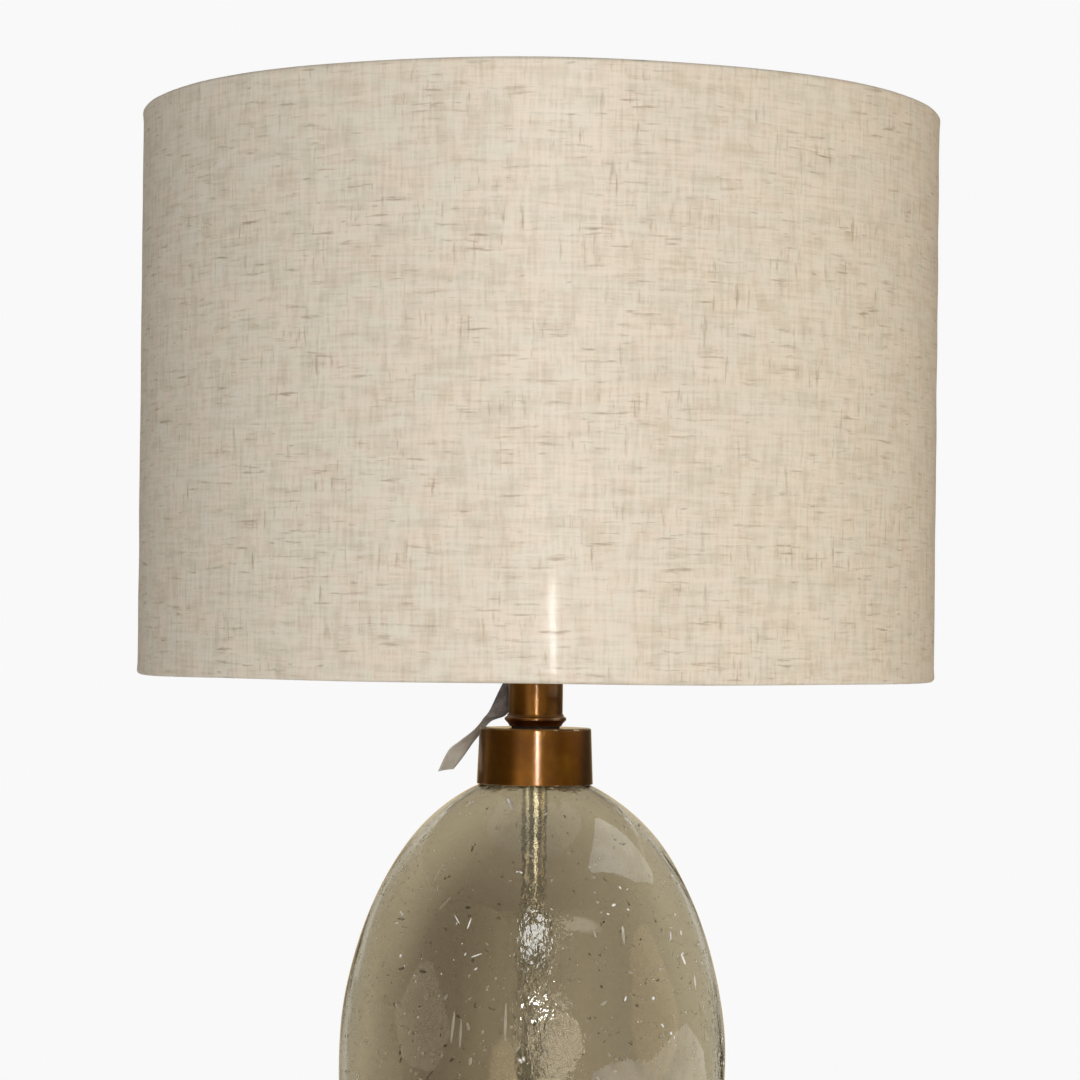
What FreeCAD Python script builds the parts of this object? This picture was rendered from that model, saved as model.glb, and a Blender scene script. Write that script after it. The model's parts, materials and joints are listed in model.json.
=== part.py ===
"""Table lamp: a seeded glass egg on a brass foot, a brass cap and neck, a keyed socket, a harp and a shade.

Millimetres. +Z is up, the origin is on the table under the lamp's axis, and the front is -Y.
Every height is worked out from the foot upwards, in the order in which the lamp is screwed together.
"""

import FreeCAD, Part
import math
import os

from FreeCAD import Vector

# ---------------------------------------------------------------- clearances
EASE = 0.1            # between pieces that slip together by hand
SEAT_GAP = 0.3        # between a metal rim and the glass that it hugs
RUNNING = 0.06        # radial, a shaft in its bearing
HOLE_EASE = 0.2       # radial, a hole over the threaded rod
SLOT_EASE = 0.4       # radial, the switch shaft's holes in the socket's thin walls

# ---------------------------------------------------------------- foot
FELT_R = 72.5
FELT_T = 2.0
COVER_T = 2.0         # board that closes the foot from below
FOOT_R = 75.0
FOOT_WALL = 1.5
FOOT_RIM_Z = 1.2      # the metal stands this far clear of the table
FOOT_SIDE_TOP_Z = 16.0
FOOT_ROUND = 3.0      # outer edge, and the cove that rises from the land
FOOT_LAND_END_R = 67.5
WEIGHT_R = 62.0
WEIGHT_T = 14.0
CORD_SLOT_W = 12.0
CORD_SLOT_H = 7.0
NUT_POCKET_R = 14.0
NUT_POCKET_H = 9.0

# ---------------------------------------------------------------- cord outlet, at the back of the foot
OUTLET_Z = 9.5
OUTLET_BORE_R = 3.7
OUTLET_BARREL_R = 4.8
OUTLET_FLANGE_R = 6.6
OUTLET_FLANGE_T = 1.6
OUTLET_LUG_R = 5.5
OUTLET_LUG_T = 1.2
OUTLET_BARREL_END = 4.0   # how far the barrel reaches in past the foot's outer wall

# ---------------------------------------------------------------- threaded rod and its hardware
ROD_R = 5.0
ROD_BORE_R = 3.4
ROD_FOOT_Z = 9.5
NUT_FLATS = 14.0
NUT_T = 4.0
WASHER_R = 11.0
WASHER_T = 1.2
TUBE_R = 6.35         # tube that hides the rod inside the glass
TUBE_WALL = 0.8

# ---------------------------------------------------------------- glass
GLASS_R = 99.2        # half the width of the egg
GLASS_HALF_H = 150.9  # half the height of the whole egg, before its ends are cut
GLASS_WALL = 3.5
GLASS_FOOT_R = 40.0
GLASS_NECK_R = 22.0
GLASS_NECK_WALL = 3.0
GASKET_T = 2.0
FOOT_GASKET_W = 8.0   # from its inner to its outer edge

CUP_R = 54.0          # brass cup that the egg stands in
CUP_WALL = 1.5
FOOT_RING_R = 12.0    # brass ring round the tube, on the cup's floor
FOOT_RING_T = 4.0

# ---------------------------------------------------------------- cap, neck
CAP_RIM_R = 29.8
CAP_TOP_R = 28.7
CAP_H = 28.8
CAP_WALL = 1.2
CAP_ROUND = 1.2
NECK_WASHER_R = 12.4
NECK_WASHER_T = 0.8
NECK_R = 13.95
NECK_WALL = 1.2
NECK_H = 45.0         # cap's top to neck's top
RING_LIP_R = 15.9
RING_BASE_R = 12.9
RING_LIP_H = 4.6      # ring's base to its widest line
RING_LIP_T = 0.53     # the lip's edge
RING_H = 6.2
RING_FLOOR_T = 1.2
STOPPER_H = 14.0

# ---------------------------------------------------------------- harp and saddle
SADDLE_T = 1.5
SADDLE_W = 15.0
SADDLE_FLAT = 18.0    # half the length of the flat middle
EAR_X = 31.0
EAR_BEND_Z = 9.5       # where the sloping ear would turn up, without its round bend
EAR_SHOULDER_Z = 14.7
EAR_TOP_Z = 28.0
EAR_TAB_W = 5.0
HARP_WIRE_R = 2.0
HARP_FOOT_Z = 16.0    # above the saddle's underside
HARP_HEIGHT = 233.7   # wire's foot to the seat that carries the shade
HARP_LEG = 36.0
HARP_HALF_WIDTH = 63.0
HARP_SHOULDER_HALF_WIDTH = 61.0
HARP_SHOULDER_X = 46.0
HARP_SHOULDER_DROP = 30.0
SLEEVE_BORE_R = 3.9
SLEEVE_R = 4.9
SLEEVE_H = 14.0
SEAT_R = 9.0
SEAT_T = 2.0
SEAT_BOSS_R = 5.0
SEAT_BOSS_H = 6.5
STUD_R = 3.175
STUD_H = 12.0

# ---------------------------------------------------------------- shade
SHADE_R = 203.0
SHADE_HEIGHT = 286.0
FABRIC_T = 0.6
LINER_T = 0.4
RIM_WIRE_R = 1.25
HEM_EASE = 0.25        # radial, the rolled edge round its wire
HEM_TURN = 215.0      # degrees that the cloth goes round the rim wire
SPIDER_DROP = 15.0    # top edge down to the hub's top
SPIDER_ARMS = 3
SPIDER_WIRE_R = 1.5
SPIDER_LEVEL_R = 33.0 # the arms run level as far out as this
HUB_R = 11.0
HUB_T = 2.0
HUB_BORE_R = 3.6
SEAM_W = 12.0
SEAM_T = 0.4

# ---------------------------------------------------------------- finial
FINIAL_BORE_R = 3.3
FINIAL_BASE_R = 7.0
FINIAL_BASE_H = 6.0
FINIAL_RIM_H = 3.6    # straight part of the ferrule, below its slope
FINIAL_BALL_R = 8.5
FINIAL_WAIST_R = 4.6
FINIAL_KNOB_BORE = 5.0

# ---------------------------------------------------------------- socket
SOCKET_HUB_R = 7.0
SOCKET_HUB_H = 7.0
SOCKET_CAP_R = 17.0
SOCKET_CAP_WALL = 1.0
SOCKET_CAP_H = 22.0
BELL_Z = 14.0          # underside of the bell's floor at its edge, before its chamfer
BELL_CHAMFER = 3.0
SOCKET_SHELL_WALL = 0.6
SOCKET_SHELL_Z = 16.5  # all heights in the socket are above its hub's foot
SOCKET_SHELL_H = 45.5
SLEEVE_CARD_T = 0.6
SLEEVE_CARD_PROUD = 1.0  # it shows this much above the shell's edge
CORE_TOP_Z = 34.5
CORE_HEAD_H = 5.0      # round head above the core's two flats
CORE_FLAT_X = 10.4
TERMINAL_Z = 22.0
SCREW_SHELL_R = 14.0
SCREW_SHELL_WALL = 0.5
SCREW_SHELL_H = 26.0
SCREW_SHELL_LIP_R = 8.1
SWITCH_Z = 26.0
SHAFT_R = 1.6
SHAFT_INNER_Y = -4.0
KNOB_GAP = 1.6         # socket shell to knob
KNOB_R = 5.4
KNOB_L = 15.0
KNOB_BORE_L = 7.5      # blind hole for the shaft
KNOB_COLLAR_L = 3.75   # plain end behind the flutes
KNOB_FLUTES = 12
KNOB_FLUTE_R = 0.8
TERMINAL_HEAD_R = 3.2
TERMINAL_HEAD_T = 2.0
TERMINAL_SHANK_R = 1.6
TERMINAL_SHANK_L = 5.0
SET_SCREW_R = 1.5
SET_SCREW_PROUD = 1.1  # how far it stands out of the hub

# ---------------------------------------------------------------- bulb
BULB_BASE_R = 13.1
BULB_BASE_WALL = 0.4
BULB_BASE_H = 19.0
BULB_BASE_ROUND = 2.0
BULB_TIP_R = 3.0
BULB_TIP_H = 1.4
BULB_INSULATOR_H = 3.0
BULB_INSULATOR_R = 10.0
BULB_TIP_COLLAR = 1.0   # insulator's foot past the tip's edge
BULB_LENGTH = 110.0
BULB_R = 30.0
BULB_NECK_R = 12.5
BULB_NECK_CURVE = 40.0
BULB_WALL = 0.8
STEM_FOOT_R = 6.0
STEM_WAIST_R = 3.0
STEM_TOP_R = 2.0
FILAMENT_R = 0.35
LEAD_FOOT_X = 1.2
LEAD_SPREAD_X = 12.0
CONTACT_H = 2.6
CONTACT_W = 3.0
CONTACT_FOOT_X = 6.0

# ---------------------------------------------------------------- paper tag
TAG_W = 10.0
TAG_T = 0.3
TAG_BAND_Z = 36.0      # band's middle, above the cap's top
# The loose end's middle line and which way its width points there. y is from the neck's back and z from the
# cap's top; x is from the lamp's axis where the strip leaves the neck, then from the cap's edge.
TAG_LEAVES_NECK = [
    ((-3.0, 0.15, 38.9), (0.89, 0.00, -0.46)),
    ((-13.0, -0.15, 19.5), (0.89, 0.00, -0.46)),
    ((-19.5, -0.75, 7.0), (1.00, 0.05, -0.04)),
]
TAG_OVER_EDGE = [
    ((3.2, -1.35, 2.6), (0.49, 0.87, 0.00)),
    ((-1.8, -1.55, -3.2), (0.36, 0.91, -0.19)),
    ((-7.0, -1.95, -8.2), (0.65, 0.75, -0.13)),
    ((-11.9, -2.35, -12.8), (0.82, 0.50, -0.26)),
    ((-16.4, -2.95, -20.4), (0.92, 0.10, 0.38)),
]

ORIGIN = Vector(0, 0, 0)
UP = Vector(0, 0, 1)


# ================================================================ small helpers
def xz(r, z):
    """A point of a profile in the plane that is turned round the lamp's axis."""
    return Vector(r, 0, z)


def line(a, b):
    return Part.LineSegment(a, b).toShape()


def arc(a, b, c):
    return Part.Arc(a, b, c).toShape()


def arc_about(centre_r, centre_z, radius, start_deg, end_deg):
    """A profile arc from one angle to another; 0 points outwards and 90 up."""
    def at(deg):
        turn = math.radians(deg)
        return xz(centre_r + radius * math.cos(turn), centre_z + radius * math.sin(turn))
    return arc(at(start_deg), at((start_deg + end_deg) / 2), at(end_deg))


def turned(edges):
    """The solid that a closed profile makes when it is turned round the lamp's axis."""
    face = Part.Face(Part.Wire(edges))
    return face.revolve(ORIGIN, UP, 360)


def turned_points(points):
    corners = [xz(r, z) for r, z in points]
    return turned([line(a, b) for a, b in zip(corners, corners[1:] + corners[:1])])


def ring(outer_r, inner_r, low_z, high_z):
    return turned_points([(inner_r, low_z), (outer_r, low_z), (outer_r, high_z), (inner_r, high_z)])


def disc(radius, low_z, high_z):
    return Part.makeCylinder(radius, high_z - low_z, Vector(0, 0, low_z))


def rod_along(axis, radius, start, length):
    return Part.makeCylinder(radius, length, start, axis)


def hex_nut(flats, low_z, thickness, bore_r):
    corner_r = flats / 2 / math.cos(math.pi / 6)
    corners = [
        Vector(corner_r * math.cos(math.pi / 3 * k), corner_r * math.sin(math.pi / 3 * k), low_z)
        for k in range(7)
    ]
    blank = Part.Face(Part.makePolygon(corners)).extrude(UP * thickness)
    return blank.cut(disc(bore_r, low_z, low_z + thickness))


def rounded_path(points, share=0.45):
    """Straight runs joined by tangent arcs; each arc is as large as the share of its shorter run allows."""
    edges, start = [], points[0]
    for before, corner, after in zip(points, points[1:], points[2:]):
        back, ahead = before - corner, after - corner
        reach = share * min(back.Length, ahead.Length)
        back.normalize()
        ahead.normalize()
        enter, leave = corner + back * reach, corner + ahead * reach
        half_turn = (math.pi - back.getAngle(ahead)) / 2
        radius = reach / math.tan(half_turn)
        inward = back + ahead
        inward.normalize()
        middle = corner + inward * (radius / math.cos(half_turn) - radius)
        edges.append(line(start, enter))
        edges.append(arc(enter, middle, leave))
        start = leave
    edges.append(line(start, points[-1]))
    return Part.Wire(edges)


def swept(wire, radius):
    """A round bar along a path."""
    first = wire.Edges[0]
    start = first.valueAt(first.FirstParameter)
    along = first.tangentAt(first.FirstParameter)
    section = Part.Wire([Part.makeCircle(radius, start, along)])
    return wire.makePipeShell([section], True, False)


def strip_along(wire, width, thickness):
    """A flat bar whose width lies along Y, swept along a path in the XZ plane."""
    first = wire.Edges[0]
    start = first.valueAt(first.FirstParameter)
    along = first.tangentAt(first.FirstParameter)
    out = along.cross(Vector(0, 1, 0)) * (thickness / 2)
    side = Vector(0, width / 2, 0)
    corners = [start + out + side, start + out - side, start - out - side, start - out + side]
    section = Part.makePolygon(corners + corners[:1])
    return wire.makePipeShell([section], True, False)


# ================================================================ heights, from the table up
FOOT_LAND_Z = FOOT_SIDE_TOP_Z + FOOT_ROUND
FOOT_TOP_Z = FOOT_LAND_Z + FOOT_ROUND
FOOT_CEILING_Z = FOOT_TOP_Z - FOOT_WALL
COVER_TOP_Z = FELT_T + COVER_T
WEIGHT_FOOT_Z = FOOT_CEILING_Z - WEIGHT_T
POCKET_TOP_Z = WEIGHT_FOOT_Z + NUT_POCKET_H
ROD_HOLE_R = ROD_R + HOLE_EASE

CUP_FLOOR_Z = FOOT_TOP_Z + CUP_WALL
GLASS_FOOT_Z = CUP_FLOOR_Z + GASKET_T


def egg_height(radius, width, half_height):
    """How far above or below the egg's middle its wall has this radius."""
    return half_height * math.sqrt(1 - (radius / width) ** 2)


GLASS_MID_Z = GLASS_FOOT_Z + egg_height(GLASS_FOOT_R, GLASS_R, GLASS_HALF_H)
CUP_RIM_Z = GLASS_MID_Z - egg_height(CUP_R - CUP_WALL, GLASS_R, GLASS_HALF_H) - SEAT_GAP
CAP_RIM_Z = GLASS_MID_Z + egg_height(CAP_RIM_R - CAP_WALL, GLASS_R, GLASS_HALF_H) + SEAT_GAP
CAP_TOP_Z = CAP_RIM_Z + CAP_H
CAP_CEILING_Z = CAP_TOP_Z - CAP_WALL
GLASS_LIP_Z = CAP_CEILING_Z - GASKET_T
RING_FOOT_Z = CAP_TOP_Z + NECK_WASHER_T
NECK_TOP_Z = CAP_TOP_Z + NECK_H
SADDLE_TOP_Z = NECK_TOP_Z + SADDLE_T
SOCKET_Z = SADDLE_TOP_Z + NUT_T + EASE
ROD_TOP_Z = SOCKET_Z + SOCKET_HUB_H + EASE

HARP_WIRE_FOOT_Z = NECK_TOP_Z + HARP_FOOT_Z
SEAT_Z = HARP_WIRE_FOOT_Z + HARP_HEIGHT
HARP_X = EAR_X + SADDLE_T / 2 + EASE + HARP_WIRE_R
SLEEVE_X = EAR_X - SADDLE_T / 2 + (SADDLE_T + EASE + 2 * HARP_WIRE_R) / 2
SLEEVE_Z = NECK_TOP_Z + EAR_SHOULDER_Z + EASE
HUB_TOP_Z = SEAT_Z + HUB_T
SHADE_TOP_Z = HUB_TOP_Z + SPIDER_DROP
SHADE_BOTTOM_Z = SHADE_TOP_Z - SHADE_HEIGHT

HEM_R = RIM_WIRE_R + HEM_EASE + FABRIC_T      # outside of the rolled edge
RIM_CENTRE_R = SHADE_R - HEM_R
RIM_TOP_Z = SHADE_TOP_Z - HEM_R
RIM_BOTTOM_Z = SHADE_BOTTOM_Z + HEM_R
LINER_R = SHADE_R - FABRIC_T - SEAT_GAP

CONTACT_Z = SOCKET_Z + CORE_TOP_Z
BULB_TIP_Z = CONTACT_Z + CONTACT_H
BULB_INSULATOR_Z = BULB_TIP_Z + BULB_TIP_H
BULB_BASE_Z = BULB_INSULATOR_Z + BULB_INSULATOR_H
BULB_NECK_Z = BULB_BASE_Z + BULB_BASE_H / 2
BULB_MID_Z = BULB_TIP_Z + BULB_LENGTH - BULB_R
SHELL_R = SOCKET_CAP_R - SOCKET_CAP_WALL - EASE


# ================================================================ foot
def felt_pad():
    return disc(FELT_R, 0, FELT_T)


def foot_cover():
    return disc(FOOT_R - FOOT_WALL - HOLE_EASE, FELT_T, COVER_TOP_Z)


def foot_shell():
    """Spun brass foot: a straight side, a rounded edge, a land, and a cove up to the cup's flat."""
    inner_r = FOOT_R - FOOT_WALL
    cove = FOOT_ROUND + FOOT_WALL
    cove_end_r = FOOT_LAND_END_R - math.sqrt(cove ** 2 - FOOT_WALL ** 2)
    cove_end_deg = 180 + math.degrees(math.asin(FOOT_WALL / cove))
    edge_r = FOOT_R - FOOT_ROUND
    land_underside_z = FOOT_LAND_Z - FOOT_WALL
    shell = turned([
        line(xz(FOOT_R, FOOT_RIM_Z), xz(FOOT_R, FOOT_SIDE_TOP_Z)),
        arc_about(edge_r, FOOT_SIDE_TOP_Z, FOOT_ROUND, 0, 90),
        line(xz(edge_r, FOOT_LAND_Z), xz(FOOT_LAND_END_R, FOOT_LAND_Z)),
        arc_about(FOOT_LAND_END_R, FOOT_TOP_Z, FOOT_ROUND, 270, 180),
        line(xz(FOOT_LAND_END_R - FOOT_ROUND, FOOT_TOP_Z), xz(ROD_HOLE_R, FOOT_TOP_Z)),
        line(xz(ROD_HOLE_R, FOOT_TOP_Z), xz(ROD_HOLE_R, FOOT_CEILING_Z)),
        line(xz(ROD_HOLE_R, FOOT_CEILING_Z), xz(cove_end_r, FOOT_CEILING_Z)),
        arc_about(FOOT_LAND_END_R, FOOT_TOP_Z, cove, cove_end_deg, 270),
        line(xz(FOOT_LAND_END_R, land_underside_z), xz(edge_r, land_underside_z)),
        arc_about(edge_r, FOOT_SIDE_TOP_Z, FOOT_ROUND - FOOT_WALL, 90, 0),
        line(xz(inner_r, FOOT_SIDE_TOP_Z), xz(inner_r, FOOT_RIM_Z)),
        line(xz(inner_r, FOOT_RIM_Z), xz(FOOT_R, FOOT_RIM_Z)),
    ])
    start = Vector(0, inner_r - FOOT_WALL, OUTLET_Z)
    return shell.cut(rod_along(Vector(0, 1, 0), OUTLET_BARREL_R + EASE, start, 3 * FOOT_WALL))


def foot_weight():
    """Cast iron disc with a pocket for the nut and a slot that lets the cord out to the back."""
    weight = disc(WEIGHT_R, WEIGHT_FOOT_Z, FOOT_CEILING_Z)
    bore = disc(ROD_HOLE_R, WEIGHT_FOOT_Z, FOOT_CEILING_Z)
    pocket = disc(NUT_POCKET_R, WEIGHT_FOOT_Z, POCKET_TOP_Z)
    slot = Part.makeBox(CORD_SLOT_W, WEIGHT_R, CORD_SLOT_H, Vector(-CORD_SLOT_W / 2, 0, WEIGHT_FOOT_Z))
    return weight.cut(bore).cut(pocket).cut(slot)


def bottom_washer():
    return ring(WASHER_R, ROD_HOLE_R, POCKET_TOP_Z - WASHER_T, POCKET_TOP_Z)


def bottom_nut():
    return hex_nut(NUT_FLATS, POCKET_TOP_Z - WASHER_T - NUT_T, NUT_T, ROD_R + EASE)


def cord_bushing():
    """Snap-in bushing for the mains lead: a flange outside, and a barrel and a catch inside."""
    out = Vector(0, 1, 0)
    flange = rod_along(out, OUTLET_FLANGE_R, Vector(0, FOOT_R, OUTLET_Z), OUTLET_FLANGE_T)
    inner_end = Vector(0, FOOT_R - OUTLET_BARREL_END, OUTLET_Z)
    barrel = rod_along(out, OUTLET_BARREL_R, inner_end, OUTLET_BARREL_END)
    catch_y = FOOT_R - FOOT_WALL - SEAT_GAP - OUTLET_LUG_T
    catch = rod_along(out, OUTLET_LUG_R, Vector(0, catch_y, OUTLET_Z), OUTLET_LUG_T)
    body = flange.fuse(barrel).fuse(catch)
    bore = rod_along(out, OUTLET_BORE_R, inner_end, OUTLET_BARREL_END + OUTLET_FLANGE_T)
    return body.cut(bore).removeSplitter()


def base_cup():
    """Brass cup that hides the egg's cut edge."""
    wall_r = CUP_R - CUP_WALL
    return turned_points([
        (ROD_HOLE_R, FOOT_TOP_Z), (CUP_R, FOOT_TOP_Z), (CUP_R, CUP_RIM_Z),
        (wall_r, CUP_RIM_Z), (wall_r, CUP_FLOOR_Z), (ROD_HOLE_R, CUP_FLOOR_Z),
    ])


def glass_foot_gasket():
    outer_r = GLASS_FOOT_R + GASKET_T
    return ring(outer_r, outer_r - FOOT_GASKET_W, CUP_FLOOR_Z, GLASS_FOOT_Z)


def rod_foot_ring():
    """Turned ring that centres the tube on the cup's floor."""
    bore_r = TUBE_R + EASE
    lip = FOOT_RING_T / 2
    return turned_points([
        (bore_r, CUP_FLOOR_Z), (FOOT_RING_R, CUP_FLOOR_Z), (FOOT_RING_R, CUP_FLOOR_Z + lip),
        (bore_r + lip, CUP_FLOOR_Z + FOOT_RING_T), (bore_r, CUP_FLOOR_Z + FOOT_RING_T),
    ])


# ================================================================ glass and what stands in it
def egg_arc(width, half_height, low_r, high_r):
    """The egg's outline from a radius below its middle to a radius above it."""
    egg = Part.Ellipse(xz(0, GLASS_MID_Z + half_height), xz(width, GLASS_MID_Z), xz(0, GLASS_MID_Z))
    top, bottom = math.asin(high_r / width), math.pi - math.asin(low_r / width)
    return Part.ArcOfEllipse(egg, top, bottom).toShape()


def glass_body():
    """Blown egg, cut flat at its foot, with a short neck that the cap hides."""
    inner_w, inner_h = GLASS_R - GLASS_WALL, GLASS_HALF_H - GLASS_WALL
    inner_neck_r = GLASS_NECK_R - GLASS_NECK_WALL
    foot_inner_r = inner_w * math.sqrt(1 - ((GLASS_MID_Z - GLASS_FOOT_Z) / inner_h) ** 2)
    outer_neck_z = GLASS_MID_Z + egg_height(GLASS_NECK_R, GLASS_R, GLASS_HALF_H)
    inner_neck_z = GLASS_MID_Z + egg_height(inner_neck_r, inner_w, inner_h)
    return turned([
        egg_arc(GLASS_R, GLASS_HALF_H, GLASS_FOOT_R, GLASS_NECK_R),
        line(xz(GLASS_NECK_R, outer_neck_z), xz(GLASS_NECK_R, GLASS_LIP_Z)),
        line(xz(GLASS_NECK_R, GLASS_LIP_Z), xz(inner_neck_r, GLASS_LIP_Z)),
        line(xz(inner_neck_r, GLASS_LIP_Z), xz(inner_neck_r, inner_neck_z)),
        egg_arc(inner_w, inner_h, foot_inner_r, inner_neck_r),
        line(xz(foot_inner_r, GLASS_FOOT_Z), xz(GLASS_FOOT_R, GLASS_FOOT_Z)),
    ])


def rod_tube():
    return ring(TUBE_R, TUBE_R - TUBE_WALL, CUP_FLOOR_Z, CAP_CEILING_Z)


def threaded_rod():
    return ring(ROD_R, ROD_BORE_R, ROD_FOOT_Z, ROD_TOP_Z)


def neck_stopper():
    """Rubber stopper that centres the tube in the glass neck."""
    outer_r = GLASS_NECK_R - GLASS_NECK_WALL - EASE
    return ring(outer_r, TUBE_R + EASE, GLASS_LIP_Z - STOPPER_H, GLASS_LIP_Z)


def cap_gasket():
    return ring(GLASS_NECK_R + GASKET_T, TUBE_R + GASKET_T, GLASS_LIP_Z, CAP_CEILING_Z)


# ================================================================ cap and neck
def neck_cap():
    """Spun brass cap, a little wider at its rim, that clamps the glass neck."""
    rim_in, top_in = CAP_RIM_R - CAP_WALL, CAP_TOP_R - CAP_WALL
    round_z = CAP_TOP_Z - CAP_ROUND
    return turned([
        line(xz(CAP_RIM_R, CAP_RIM_Z), xz(CAP_TOP_R, round_z)),
        arc_about(CAP_TOP_R - CAP_ROUND, round_z, CAP_ROUND, 0, 90),
        line(xz(CAP_TOP_R - CAP_ROUND, CAP_TOP_Z), xz(ROD_HOLE_R, CAP_TOP_Z)),
        line(xz(ROD_HOLE_R, CAP_TOP_Z), xz(ROD_HOLE_R, CAP_CEILING_Z)),
        line(xz(ROD_HOLE_R, CAP_CEILING_Z), xz(top_in, CAP_CEILING_Z)),
        line(xz(top_in, CAP_CEILING_Z), xz(rim_in, CAP_RIM_Z)),
        line(xz(rim_in, CAP_RIM_Z), xz(CAP_RIM_R, CAP_RIM_Z)),
    ])


def neck_washer():
    return ring(NECK_WASHER_R, ROD_HOLE_R, CAP_TOP_Z, RING_FOOT_Z)


def neck_ring():
    """Check ring with a flared lip; the neck stands in its recess."""
    recess_r = NECK_R + EASE
    lip_z = RING_FOOT_Z + RING_LIP_H
    shoulder_z = lip_z + RING_LIP_T
    return turned([
        line(xz(ROD_HOLE_R, RING_FOOT_Z), xz(RING_BASE_R, RING_FOOT_Z)),
        line(xz(RING_BASE_R, RING_FOOT_Z), xz(RING_LIP_R, lip_z)),
        line(xz(RING_LIP_R, lip_z), xz(RING_LIP_R - EASE, shoulder_z)),
        arc(
            xz(RING_LIP_R - EASE, shoulder_z),
            xz((RING_LIP_R + recess_r) / 2 - EASE, shoulder_z + EASE),
            xz(recess_r + EASE, RING_FOOT_Z + RING_H),
        ),
        line(xz(recess_r + EASE, RING_FOOT_Z + RING_H), xz(recess_r, RING_FOOT_Z + RING_H)),
        line(xz(recess_r, RING_FOOT_Z + RING_H), xz(recess_r, RING_FOOT_Z + RING_FLOOR_T)),
        line(xz(recess_r, RING_FOOT_Z + RING_FLOOR_T), xz(ROD_HOLE_R, RING_FOOT_Z + RING_FLOOR_T)),
        line(xz(ROD_HOLE_R, RING_FOOT_Z + RING_FLOOR_T), xz(ROD_HOLE_R, RING_FOOT_Z)),
    ])


def neck_tube():
    """Brass neck, open below, with a top plate that carries the saddle."""
    inner_r, plate_z = NECK_R - NECK_WALL, NECK_TOP_Z - NECK_WALL
    foot_z = RING_FOOT_Z + RING_FLOOR_T
    return turned_points([
        (NECK_R, foot_z), (NECK_R, NECK_TOP_Z), (ROD_HOLE_R, NECK_TOP_Z),
        (ROD_HOLE_R, plate_z), (inner_r, plate_z), (inner_r, foot_z),
    ])


# ================================================================ saddle and harp
def harp_saddle():
    """Steel strip bent into a U, with a narrow tab at each end that the harp stands against."""
    mid_z = NECK_TOP_Z + SADDLE_T / 2
    path = rounded_path([
        Vector(-EAR_X, 0, NECK_TOP_Z + EAR_TOP_Z),
        Vector(-EAR_X, 0, NECK_TOP_Z + EAR_BEND_Z),
        Vector(-SADDLE_FLAT, 0, mid_z),
        Vector(SADDLE_FLAT, 0, mid_z),
        Vector(EAR_X, 0, NECK_TOP_Z + EAR_BEND_Z),
        Vector(EAR_X, 0, NECK_TOP_Z + EAR_TOP_Z),
    ], share=0.3)
    bar = strip_along(path, SADDLE_W, SADDLE_T)
    for low_y in (EAR_TAB_W / 2, -SADDLE_W):
        corner = Vector(-2 * EAR_X, low_y, NECK_TOP_Z + EAR_SHOULDER_Z)
        bar = bar.cut(Part.makeBox(4 * EAR_X, SADDLE_W - EAR_TAB_W / 2, EAR_TOP_Z, corner))
    return bar.cut(disc(ROD_HOLE_R, NECK_TOP_Z, SADDLE_TOP_Z))


def saddle_nut():
    return hex_nut(NUT_FLATS, SADDLE_TOP_Z, NUT_T, ROD_R + EASE)


def harp_bow():
    """Wire bow: straight feet, a belly that clears the bulb, and a flat top under the seat."""
    top_z = SEAT_Z - SEAT_T - HARP_WIRE_R - EASE
    leg_top_z = HARP_WIRE_FOOT_Z + HARP_LEG
    shoulder_z = top_z - HARP_SHOULDER_DROP
    belly_z = (leg_top_z + shoulder_z) / 2
    right = [
        Vector(HARP_X, 0, HARP_WIRE_FOOT_Z),
        Vector(HARP_X, 0, leg_top_z),
        Vector(HARP_HALF_WIDTH, 0, belly_z),
        Vector(HARP_SHOULDER_HALF_WIDTH, 0, shoulder_z),
        Vector(HARP_SHOULDER_X, 0, top_z),
    ]
    left = [Vector(-p.x, 0, p.z) for p in reversed(right)]
    return swept(rounded_path(right + left), HARP_WIRE_R)


def harp_seat():
    """Disc and threaded stud on the bow's top; the wire runs through its boss."""
    disc_z = SEAT_Z - SEAT_T
    seat = disc(SEAT_R, disc_z, SEAT_Z).fuse(disc(STUD_R, SEAT_Z, SEAT_Z + STUD_H))
    seat = seat.fuse(disc(SEAT_BOSS_R, disc_z - SEAT_BOSS_H, disc_z))
    wire_z = disc_z - HARP_WIRE_R - EASE
    wire = rod_along(Vector(1, 0, 0), HARP_WIRE_R + RUNNING, Vector(-SEAT_R, 0, wire_z), 2 * SEAT_R)
    return seat.cut(wire).removeSplitter()


def harp_sleeve(side):
    """Ferrule that drops over the tab and the wire's foot."""
    x = side * SLEEVE_X
    body = rod_along(UP, SLEEVE_R, Vector(x, 0, SLEEVE_Z), SLEEVE_H)
    bore = rod_along(UP, SLEEVE_BORE_R, Vector(x, 0, SLEEVE_Z), SLEEVE_H)
    return body.cut(bore)


# ================================================================ shade
def spider_arm_path(angle):
    """From the hub's rim, level at first, then straight up to the top rim wire."""
    way = Vector(math.cos(math.radians(angle)), math.sin(math.radians(angle)), 0)
    hub_mid_z = HUB_TOP_Z - HUB_T / 2
    return rounded_path([
        way * (HUB_R + EASE) + UP * hub_mid_z,
        way * SPIDER_LEVEL_R + UP * hub_mid_z,
        way * (RIM_CENTRE_R - RIM_WIRE_R - EASE) + UP * RIM_TOP_Z,
    ])


def arm_angles():
    return [90 + 360 / SPIDER_ARMS * k for k in range(SPIDER_ARMS)]


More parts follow.
